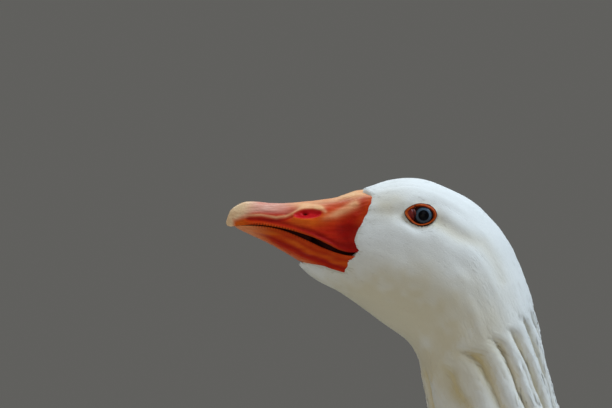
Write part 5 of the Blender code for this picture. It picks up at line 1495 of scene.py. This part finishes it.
def wing_feathers(side):
    """Rows of coverts, then secondaries, tertials and the folded primaries."""
    out = []

    def row(a0, b0, length, width, layer, turn, tip=0.7, step=None, twist=0.06, camber=0.10, tuck=1.4):
        a0, b0 = np.broadcast_arrays(np.asarray(a0, float), np.asarray(b0, float))
        a0, b0 = a0.ravel(), b0.ravel()
        n = len(a0)
        plan = _plan(np.clip(a0, 0, 1))
        w = (plan[:, 0] + plan[:, 1]) / 2 - b0 * (plan[:, 1] - plan[:, 0]) / 2
        t = W_FRONT + (W_BACK - W_FRONT) * a0
        phi = np.radians(w) * side
        L = np.asarray(length) * rng.uniform(0.97, 1.03, n)
        layer = np.asarray(layer) - 1.5 * smooth(-0.70, -0.95, b0) - 1.5 * smooth(0.80, 1.08, b0)
        W = np.asarray(width) * np.ones(n)
        out.append(vanes(on_body(t, phi, np.asarray(turn) * np.ones(n)), n, L, W, layer - 1.5, np.asarray(layer) + 0.35, tip=tip,
                         twist=np.asarray(twist) * side * np.ones(n), camber=camber, thick=0.45, uv_at=bare_uv(t, phi), tuck=tuck))

    # primaries, lowest: long narrow blades that reach past the rump
    k = np.linspace(0, 1, 9)
    row(0.60 + 0.05 * k, -0.62 + 0.75 * k, 225 - 34 * k, 21.0, -2.4 + 0.35 * k, 0.10 - 0.05 * k, tip=0.86, twist=0.03, camber=0.05)
    # secondaries along the lower half of the wing
    k = np.linspace(0, 1, 12)
    row(0.31 + 0.25 * k, -0.90 + 0.40 * k, 150 - 10 * k, 27.0, -1.2 + 0.25 * k, 0.05 + 0.04 * k, tip=0.86, twist=0.04, camber=0.06)
    row(0.34 + 0.12 * k, -0.60 + 0.95 * k, 150.0, 28.0, -0.6 + 0.3 * k, 0.08 * (1 - k), tip=0.86, twist=0.04, camber=0.06)
    # tertials over the back
    k = np.linspace(0, 1, 7)
    row(0.37 + 0.05 * k, 0.0 + 0.86 * k, 170 - 30 * k, 36.0, 0.2 + 0.4 * k, 0.0 - 0.06 * k, tip=0.80, twist=0.05, camber=0.08)
    # greater coverts
    k = np.linspace(0, 1, 15)
    row(0.25 + 0.115 * smooth(0, 1, k), -0.88 + 1.65 * k, 84 - 4 * k, 25.0, 0.9 + 0.1 * k, 0.06 - 0.05 * k, tip=0.80, twist=0.05)
    # scapulars: large rounded feathers down from the back over the wing's top
    for i, (a0, L) in enumerate(((0.08, 46.0), (0.14, 52.0), (0.21, 60.0), (0.28, 66.0), (0.36, 74.0), (0.45, 76.0))):
        k = np.linspace(0, 1, 5)
        row(a0 + 0.015 * k + 0.012 * (i % 2), 0.58 + 0.50 * k - 0.05 * (i % 2), L, 25.0 + 1.6 * i, 1.5 + 0.2 * i + 0.2 * k, -0.10, tip=0.66, twist=0.03, camber=0.10, tuck=1.7)
    # median coverts
    k = np.linspace(0, 1, 18)
    row(0.19 + 0.10 * smooth(0, 1, k), -0.90 + 1.68 * k, 54.0, 22.0, 1.4, 0.04, tip=0.70, twist=0.04, camber=0.14)
    k = np.linspace(0, 1, 20)
    row(0.145 + 0.075 * smooth(0, 1, k), -0.90 + 1.72 * k, 44.0, 19.5, 1.8, 0.03, tip=0.66, twist=0.03, camber=0.16)
    # lesser coverts
    for i, a0 in enumerate((-0.005, 0.022, 0.050, 0.078, 0.108)):
        m = 17 + 2 * i
        k = (np.arange(m) + 0.5 * (i % 2)) / m
        row(a0 + 0.05 * k * i / 4 + rng.uniform(-0.006, 0.006, m), -0.92 + 1.80 * k, 29.0 + 2.4 * i, 15.5 + 0.9 * i, 1.4 + 0.1 * i, rng.uniform(-0.06, 0.06, m), tip=0.62,
            twist=0.02, camber=0.16)
    return out


def on_tail(x0, y0, turn, face, narrow=True):
    """A surface for vanes() over the tail's blade, from roots (x0, y0), turned outwards by an angle."""
    def surface(along, across):
        st, ct = np.sin(turn)[:, None, None], np.cos(turn)[:, None, None]
        f = np.clip(along / (TAIL_TIP_Y - TAIL_ROOT[0]), 0, 1)
        wide = across * ((0.55 + 0.45 * f) if narrow else 1.0)
        x = x0[:, None, None] + along * st + wide * ct
        y = y0[:, None, None] + along * ct - wide * st
        g = np.clip((y - TAIL_ROOT[0]) / (TAIL_TIP_Y - TAIL_ROOT[0]), 0, 1)
        thick = (9.0 - 7.4 * np.minimum(1, g / 0.9)) / 2 * 0.5
        z = TAIL_ROOT[1] + TAIL_RISE * g - 11.0 * (x / TAIL_HALF_FAN) ** 2 + face * thick
        nrm = unit(np.stack([22.0 * x / TAIL_HALF_FAN ** 2, 0 * x - 0.085, np.ones_like(x)], -1)) * face
        F = np.broadcast_to(unit(np.stack([np.sin(turn), np.cos(turn), 0 * turn], -1))[:, None, None, :], nrm.shape)
        return np.stack(np.broadcast_arrays(x, y, z), -1), nrm, 0 * x, F
    return surface


def tail_feathers():
    """Broad rounded tail feathers fanned over both faces of the tail's blade, then their coverts."""
    out = []
    for face in (1, -1):
        batches = []
        m = 9
        k = np.linspace(-1, 1, m)
        order = np.abs(k)
        L = (TAIL_TIP_Y - TAIL_ROOT[0]) * (1.0 - 0.12 * order ** 2) * rng.uniform(0.988, 1.008, m) - (6.0 if face > 0 else 8.5)
        turn = np.arctan2(0.76 * k * (TAIL_HALF_FAN - 5.0), 112.0)
        uv = np.stack([0.86 + 0.08 * k, np.full(m, 0.6 + 0.1 * (face > 0))], -1)
        layer = 1.0 * (1 - order) + 0.75
        x0, y0 = 0.22 * k * (TAIL_HALF_FAN - 4.0), np.full(m, TAIL_ROOT[0] + 5.0)
        batches.append(vanes(on_tail(x0, y0, turn, face), m, L, np.full(m, 28.0), 0.4 + 0 * layer, layer, tip=0.84, twist=0.0, camber=0.05, thick=0.45, uv_at=uv, tuck=0.55))
        for i, (y, count, length) in enumerate(((526.0, 8, 40.0), (518.0, 9, 38.0))):
            k = (np.linspace(-1, 1, count) + 0.5 / count * rng.uniform(-0.4, 0.4, count)) * (1.0 if i % 2 else 0.94)
            half = 30.0
            uv = np.stack([0.86 + 0.08 * k, np.full(count, 0.58 + 0.1 * (face > 0))], -1)
            batches.append(vanes(on_tail(k * half, np.full(count, y), 0.34 * k, face, False), count, length * rng.uniform(0.93, 1.05, count), 19.0, 0.0,
                                 1.5 + 0.35 * i, tip=0.62, camber=0.08, thick=0.35, uv_at=uv, tuck=1.3))
        out.append((face, batches))
    return out


RUMP_TOP = [(484.0, 377.2), (500.0, 376.6), (515.0, 375.4), (530.0, 373.8), (545.0, 372.2), (560.0, 371.8), (576.0, 372.8), (600.0, 374.5)]
RUMP_UNDER = [(462.0, 281.0), (474.1, 293.2), (491.2, 310.4), (503.9, 322.1), (517.0, 333.4), (533.0, 347.0), (548.0, 358.5), (562.0, 365.6), (576.0, 369.2), (600.0, 371.5)]


def rump_coverts(face):
    """Feathers that leave the rump and lie over the tail's root, above and below."""
    line = np.array(RUMP_TOP if face > 0 else RUMP_UNDER)
    at = np.concatenate([[0.0], np.cumsum(np.linalg.norm(np.diff(line, axis=0), axis=1))])
    path = Spline(at, line)
    out = []
    rows = np.arange(0.0, 66.0 if face > 0 else 98.0, 7.5)
    for i, s0 in enumerate(rows):
        count = 9 + (i % 2)
        half = np.interp(s0, [0, rows[-1]], [25.0, 28.0] if face > 0 else [15.0, 24.0])
        k = np.linspace(-1, 1, count) + rng.uniform(-0.04, 0.04, count)
        turn = (0.30 if face > 0 else 0.20) * k
        root = np.full(count, s0) + rng.uniform(-1.5, 1.5, count)
        L = (34.0 if face > 0 else 38.0) * rng.uniform(0.93, 1.06, count)
        L = np.minimum(L, at[-1] - 30.0 - root)

        def surface(along, across, k=k, half=half, turn=turn, root=root):
            st, ct = np.sin(turn)[:, None, None], np.cos(turn)[:, None, None]
            s = root[:, None, None] + along * ct - across * st
            x = half * k[:, None, None] + along * st + across * ct
            flat = np.clip(s, 0, at[-1] - 0.2).ravel()
            c, d = path(flat), path(flat + 0.1) - path(flat)
            d = unit(d).reshape(s.shape + (2,))
            c = c.reshape(s.shape + (2,))
            bend = np.interp(s, [0, 60, 95], [0.0094, 0.0050, 0.0029]) if face > 0 else np.interp(s, [0, 98, 118, 136, 150], [0.014, 0.0085, 0.0024, -0.0010, -0.0024])
            ny, nz = -d[..., 1] * face, d[..., 0] * face
            drop = bend * x ** 2
            p = np.stack([x, c[..., 0] - drop * ny, c[..., 1] - drop * nz], -1)
            nrm = unit(np.stack([2 * bend * x, ny, nz], -1))
            F = unit(np.stack([st + 0 * x, ct * d[..., 0], ct * d[..., 1]], -1))
            return p, nrm, 0 * x, F
        t = np.full(count, T_LAST - 30.0 + 0.25 * s0)
        phi = np.radians((0.0 if face > 0 else 180.0) + 50.0 * k)
        out.append(vanes(surface, count, L, 19.0, -1.6, 0.25, tip=0.62, camber=0.06, thick=0.30, uv_at=bare_uv(t, phi), tuck=0.9))
    return out


def thigh_feathers(side):
    rows = []
    s_at, a_at, size = [], [], []
    for i, s0 in enumerate(np.arange(0.0, FEATHER_END - 10.0, 7.5)):
        p = leg_curve(s0)[0]
        ring = 2 * math.pi * math.sqrt((p[3] ** 2 + p[4] ** 2) / 2)
        m = max(7, int(ring / 8.5))
        a_at.append((np.arange(m) + 0.5 * (i % 2) + rng.uniform(-0.12, 0.12, m)) / m * 2 * math.pi)
        s_at.append(np.full(m, s0) + rng.uniform(-1.2, 1.2, m))
        size.append(np.full(m, np.interp(s0, [0, 60, FEATHER_END - 8], [1.0, 0.82, 0.42])))
    s0, a0, size = np.concatenate(s_at), np.concatenate(a_at), np.concatenate(size)
    n = len(s0)
    L = np.minimum(30.0 * size, np.maximum(FEATHER_END + 1.5 - s0, 5.0)) * rng.uniform(0.9, 1.08, n)
    W = 15.0 * size

    def surface(along, across):
        s = s0[:, None, None] + along
        r = leg_curve(np.clip(s, 0, FEATHER_END + 6).ravel())[:, 3:5].mean(1).reshape(s.shape)
        a = a0[:, None, None] + across / np.maximum(r, 4.0)
        p, nrm, d = leg_surface(s + 0 * a, a + 0 * s, side)
        return p, nrm, 0 * s, d
    uv = np.stack([(0.75 if side > 0 else 0.87) + 0.11 * (a0 / (2 * math.pi)), 0.02 + 0.42 * s0 / FEATHER_END], -1)
    return vanes(surface, n, L, W, -1.8 * size - 0.2, 0.5 + 1.0 * rng.random(n) * size, tip=0.60, twist=rng.uniform(-0.05, 0.05, n), camber=0.15,
                 thick=0.3, uv_at=uv)


vane_objects("contour", trunk_feathers())
vane_objects("rump_coverts_upper", rump_coverts(1), flip=RUMP_FLIP[0])
vane_objects("rump_coverts_lower", rump_coverts(-1), flip=RUMP_FLIP[1])
for _side, _word in ((1, "left"), (-1, "right")):
    vane_objects("wing_vanes_" + _word, wing_feathers(_side))
    vane_objects("thigh_vanes_" + _word, [thigh_feathers(_side)], flip=THIGH_FLIP[0 if _side > 0 else 1])
for _face, _batch in tail_feathers():
    vane_objects("tail_vanes_" + ("upper" if _face > 0 else "lower"), _batch, flip=_face < 0)


# ------------------------------------------------------------------ bare legs, feet and claws
def leg_material(name, deep, light, pale):
    m = Nodes(name)
    n = m.noise(160.0, 4.0, 0.6)
    base = m.mix(m.range(n, 0.32, 0.68), deep, light)
    base = m.mix(m.attr("groove"), base, tuple(c * 0.34 for c in deep))
    base = m.mix(m.attr("worn"), base, pale)
    fine = m.noise(1400.0, 3.0, 0.6)
    normal = m.bump(fine, 0.45, 0.0004)
    return m.out(base, m.range(n, 0.3, 0.7, 0.42, 0.60), normal, Specular_IOR_Level=0.3)


LEG_SKIN = leg_material("leg_scales", (0.80, 0.180, 0.012), (0.90, 0.275, 0.024), (0.94, 0.44, 0.14))
CLAW_HORN = leg_material("claw_horn", (0.36, 0.24, 0.14), (0.58, 0.44, 0.30), (0.16, 0.10, 0.06))


def split_four(v, f):
    e = np.concatenate([f[:, [0, 1]], f[:, [1, 2]], f[:, [2, 0]]])
    key, inv = np.unique(np.sort(e, axis=1), axis=0, return_inverse=True)
    inv = inv.ravel()
    mid = (v[key[:, 0]] + v[key[:, 1]]) / 2
    m = inv.reshape(3, -1).T + len(v)
    a, b, c = f[:, 0], f[:, 1], f[:, 2]
    g = np.concatenate([np.stack([a, m[:, 0], m[:, 2]], 1), np.stack([b, m[:, 1], m[:, 0]], 1), np.stack([c, m[:, 2], m[:, 1]], 1), m])
    return np.concatenate([v, mid]), g


def relaxed(v, f, times, keep=None):
    e = np.concatenate([f[:, [0, 1]], f[:, [1, 2]], f[:, [2, 0]]])
    e = np.concatenate([e, e[:, ::-1]])
    deg = np.maximum(np.bincount(e[:, 0], minlength=len(v)), 1)[:, None]
    for i in range(times):
        s = np.stack([np.bincount(e[:, 0], weights=v[e[:, 1], k], minlength=len(v)) for k in range(3)], 1) / deg
        step = 0.5 if i % 2 == 0 else -0.52
        v = v + step * (s - v)
    return v


def vertex_normals(v, f):
    n = np.cross(v[f[:, 1]] - v[f[:, 0]], v[f[:, 2]] - v[f[:, 0]])
    out = np.zeros_like(v)
    for k in range(3):
        for j in range(3):
            out[:, j] += np.bincount(f[:, k], weights=n[:, j], minlength=len(v))
    return unit(out)


def cells(p, seed):
    """Distance to the nearest cell border for jittered cells of unit size, and a value for each cell."""
    i = np.floor(p).astype(np.int64)
    near = np.full(len(p), 9.0)
    second = np.full(len(p), 9.0)
    val = np.zeros(len(p))
    for dx in (-1, 0, 1):
        for dy in (-1, 0, 1):
            for dz in (-1, 0, 1):
                q = i + np.array([dx, dy, dz])
                c = q + 0.5 + 0.36 * np.stack([_hash(q[:, 0], q[:, 1], q[:, 2], seed + k) for k in range(3)], 1)
                d = np.linalg.norm(p - c, axis=1)
                closer = d < near
                second = np.where(closer, near, np.minimum(second, d))
                val = np.where(closer, _hash(q[:, 0], q[:, 1], q[:, 2], seed + 7), val)
                near = np.where(closer, d, near)
    return second - near, val


def node_mesh(name):
    """A CAD node's own triangles, in the bird's mm."""
    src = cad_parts[name].data
    src.calc_loop_triangles()
    v = np.zeros(len(src.vertices) * 3)
    src.vertices.foreach_get("co", v)
    v = v.reshape(-1, 3) * 1000.0
    v[:, 1] += EYE_TO_MIDDLE
    f = np.zeros(len(src.loop_triangles) * 3, np.int32)
    src.loop_triangles.foreach_get("vertices", f)
    f = f.reshape(-1, 3)
    key, inv = np.unique(np.round(v, 4), axis=0, return_inverse=True)
    f = inv.ravel()[f]
    f = f[(f[:, 0] != f[:, 1]) & (f[:, 1] != f[:, 2]) & (f[:, 2] != f[:, 0])]
    return key, f


def ball(centre, radii):
    """A round lump, for the joints between nodes."""
    u, w = np.meshgrid(np.linspace(0, math.pi, 14)[1:-1], np.arange(24) / 24 * 2 * math.pi, indexing="ij")
    p = np.stack([np.sin(u) * np.cos(w), np.sin(u) * np.sin(w), np.cos(u)], -1)
    v, f = shell(p, 0)
    f = np.concatenate([np.concatenate([q[:, [0, 1, 2]], q[:, [0, 2, 3]]]) if q.shape[1] == 4 else q for q in f])
    v[-2], v[-1] = (0, 0, 1), (0, 0, -1)
    return v * radii + centre, f


def joined(parts, voxel, extra=()):
    """One closed surface round several of the CAD nodes and the lumps that join them."""
    verts, faces, first = [], [], 0
    for v, f in extra:
        verts.append(v)
        faces.append(f + first)
        first += len(v)
    for node in parts:
        v, f = node_mesh(node)
        verts.append(v)
        faces.append(f + first)
        first += len(v)
    o = mesh_object("joined_parts", np.concatenate(verts), np.concatenate(faces))
    mod = o.modifiers.new("voxels", "REMESH")
    mod.mode = "VOXEL"
    mod.voxel_size = voxel / 1000.0
    mod.adaptivity = 0.0
    graph = bpy.context.evaluated_depsgraph_get()
    graph.update()
    done = bpy.data.meshes.new_from_object(o.evaluated_get(graph), depsgraph=graph)
    done.calc_loop_triangles()
    v = np.zeros(len(done.vertices) * 3)
    done.vertices.foreach_get("co", v)
    f = np.zeros(len(done.loop_triangles) * 3, np.int32)
    done.loop_triangles.foreach_get("vertices", f)
    old = o.data
    bpy.data.objects.remove(o)
    bpy.data.meshes.remove(old)
    bpy.data.meshes.remove(done)
    v = v.reshape(-1, 3) * 1000.0
    v[:, 1] += EYE_TO_MIDDLE
    return v, f.reshape(-1, 3)


def build_leg(word):
    nodes = ["shank_" + word, "foot_" + word, "hind_toe_" + word]
    sx = 1 if word == "left" else -1
    lumps = [ball((66.0 * sx, 246.2, 14.0), (8.6, 9.6, 6.5)), ball((62.0 * sx, 255.0, 16.6), (4.9, 6.0, 4.6)), ball((66.0 * sx, 246.0, 21.0), (8.2, 9.0, 8.0))]
    v, f = joined(nodes, 0.85, lumps)
    v = relaxed(v, f, 44)
    n = vertex_normals(v, f)
    q = v.copy()
    shank = smooth(24.0, 34.0, v[:, 2])
    q[:, 2] = q[:, 2] * 0.82
    cell = 2.1
    d, val = cells(q / cell, 301)
    front = smooth(-0.2, -0.85, n[:, 1]) * shank
    # a net of small raised scales all over, higher on the shank and its front, lower on the webs, and none on the soles
    plate = smooth(0.02, 0.26, d)
    high = 0.24 + 0.12 * shank + 0.06 * front
    web = smooth(0.75, 0.97, np.abs(n[:, 2])) * (v[:, 2] < 9)
    sole = smooth(0.55, 0.95, -n[:, 2]) * (v[:, 2] < 4.0)
    rise = high * (1 - 0.45 * web) * (plate - 0.62) + 0.05 * val
    fold = 0.30 * noise(v / np.array([9.0, 9.0, 9.0]), 311) + 0.16 * noise(v / 4.0, 312)
    v = v + ((rise + fold * 0.7) * (1 - sole))[:, None] * n
    v[:, 2] = np.maximum(v[:, 2], 0.0)
    o = mesh_object("leg_scales_" + word, v, f)
    attribute(o, "groove", (1 - plate) * 0.62 * (1 - 0.35 * web))
    attribute(o, "worn", np.clip(0.20 * plate * (val > 0.2) * (0.6 + 0.4 * shank) + 0.22 * noise(v / 16.0, 313), 0, 1))
    return dress(o, LEG_SKIN, "orange_leg", *nodes)


def build_claw(node, name):
    v, f = node_mesh(node)
    for _ in range(3):
        v, f = split_four(v, f)
    v = relaxed(v, f, 8)
    o = mesh_object(name, v, f)
    tip = (v[:, 1] - v[:, 1].min()) / max(1e-6, np.ptp(v[:, 1]))
    attribute(o, "groove", 0.25 * smooth(0.0, 0.6, noise(v / np.array([1.2, 5.0, 1.2]), 331)))
    attribute(o, "worn", smooth(0.55, 0.05, tip) * 0.5)
    return dress(o, CLAW_HORN, "pale_claw", node)


for _word in ("left", "right"):
    build_leg(_word)
    for _toe in ("inner", "middle", "outer", "hind"):
        build_claw("claw_%s_%s" % (_toe, _word), "claw_horn_%s_%s" % (_toe, _word))

# ------------------------------------------------------------------ floor, light and camera
def look_at(obj, target):
    from mathutils import Vector
    obj.rotation_euler = (Vector(target) - obj.location).to_track_quat("-Z", "Y").to_euler()


floor_mesh = bpy.data.meshes.new("floor")
_a = np.linspace(0, 2 * math.pi, 96, endpoint=False)
floor_mesh.from_pydata([(5.6 * math.cos(v), 5.6 * math.sin(v), 0.0) for v in _a], [], [list(range(96))])
floor = bpy.data.objects.new("floor", floor_mesh)
bpy.context.scene.collection.objects.link(floor)
fm = Nodes("pale_floor")
floor_mesh.materials.append(fm.out(fm.mix(fm.noise(1.5, 4.0), (0.55, 0.55, 0.54), (0.60, 0.60, 0.59)), 0.8))

world = bpy.data.worlds.new("studio")
bpy.context.scene.world = world
world.use_nodes = True
world.node_tree.nodes["Background"].inputs["Color"].default_value = (0.455, 0.450, 0.425, 1.0)
world.node_tree.nodes["Background"].inputs["Strength"].default_value = 0.26


def area(name, at, target, size, energy, colour):
    light = bpy.data.lights.new(name, "AREA")
    light.shape, light.size = "DISK", size
    light.energy, light.color = energy, colour
    o = bpy.data.objects.new(name, light)
    o.location = at
    bpy.context.scene.collection.objects.link(o)
    look_at(o, target)
    return o


area("key_above_behind", (0.35, 1.05, 2.7), (0.0, -0.15, 0.66), 1.4, 50.0, (0.74, 0.88, 1.0))
area("top_left", (-1.0, -0.9, 2.5), (0.0, -0.1, 0.66), 1.5, 20.0, (0.84, 0.93, 1.0))
area("wide_fill", (3.2, -2.2, 0.45), (0.0, -0.2, 0.7), 3.0, 23.0, (1.0, 0.91, 0.74))
area("sky_front", (2.9, -1.3, 2.7), (0.0, -0.2, 0.7), 2.4, 15.0, (0.80, 0.91, 1.0))

cam = bpy.data.cameras.new("camera")
cam.sensor_width = 36.0
cam.lens = 36.0 * 1.5 / 0.29376
cam.clip_start, cam.clip_end = 0.05, 60.0
camera = bpy.data.objects.new("camera", cam)
bpy.context.scene.collection.objects.link(camera)
camera.location = (1.5, (-56.6 - EYE_TO_MIDDLE) / 1000.0, 0.8475)
camera.rotation_euler = (math.pi / 2, 0.0, math.pi / 2)
bpy.context.scene.camera = camera
bpy.context.scene.view_settings.view_transform = "Standard"
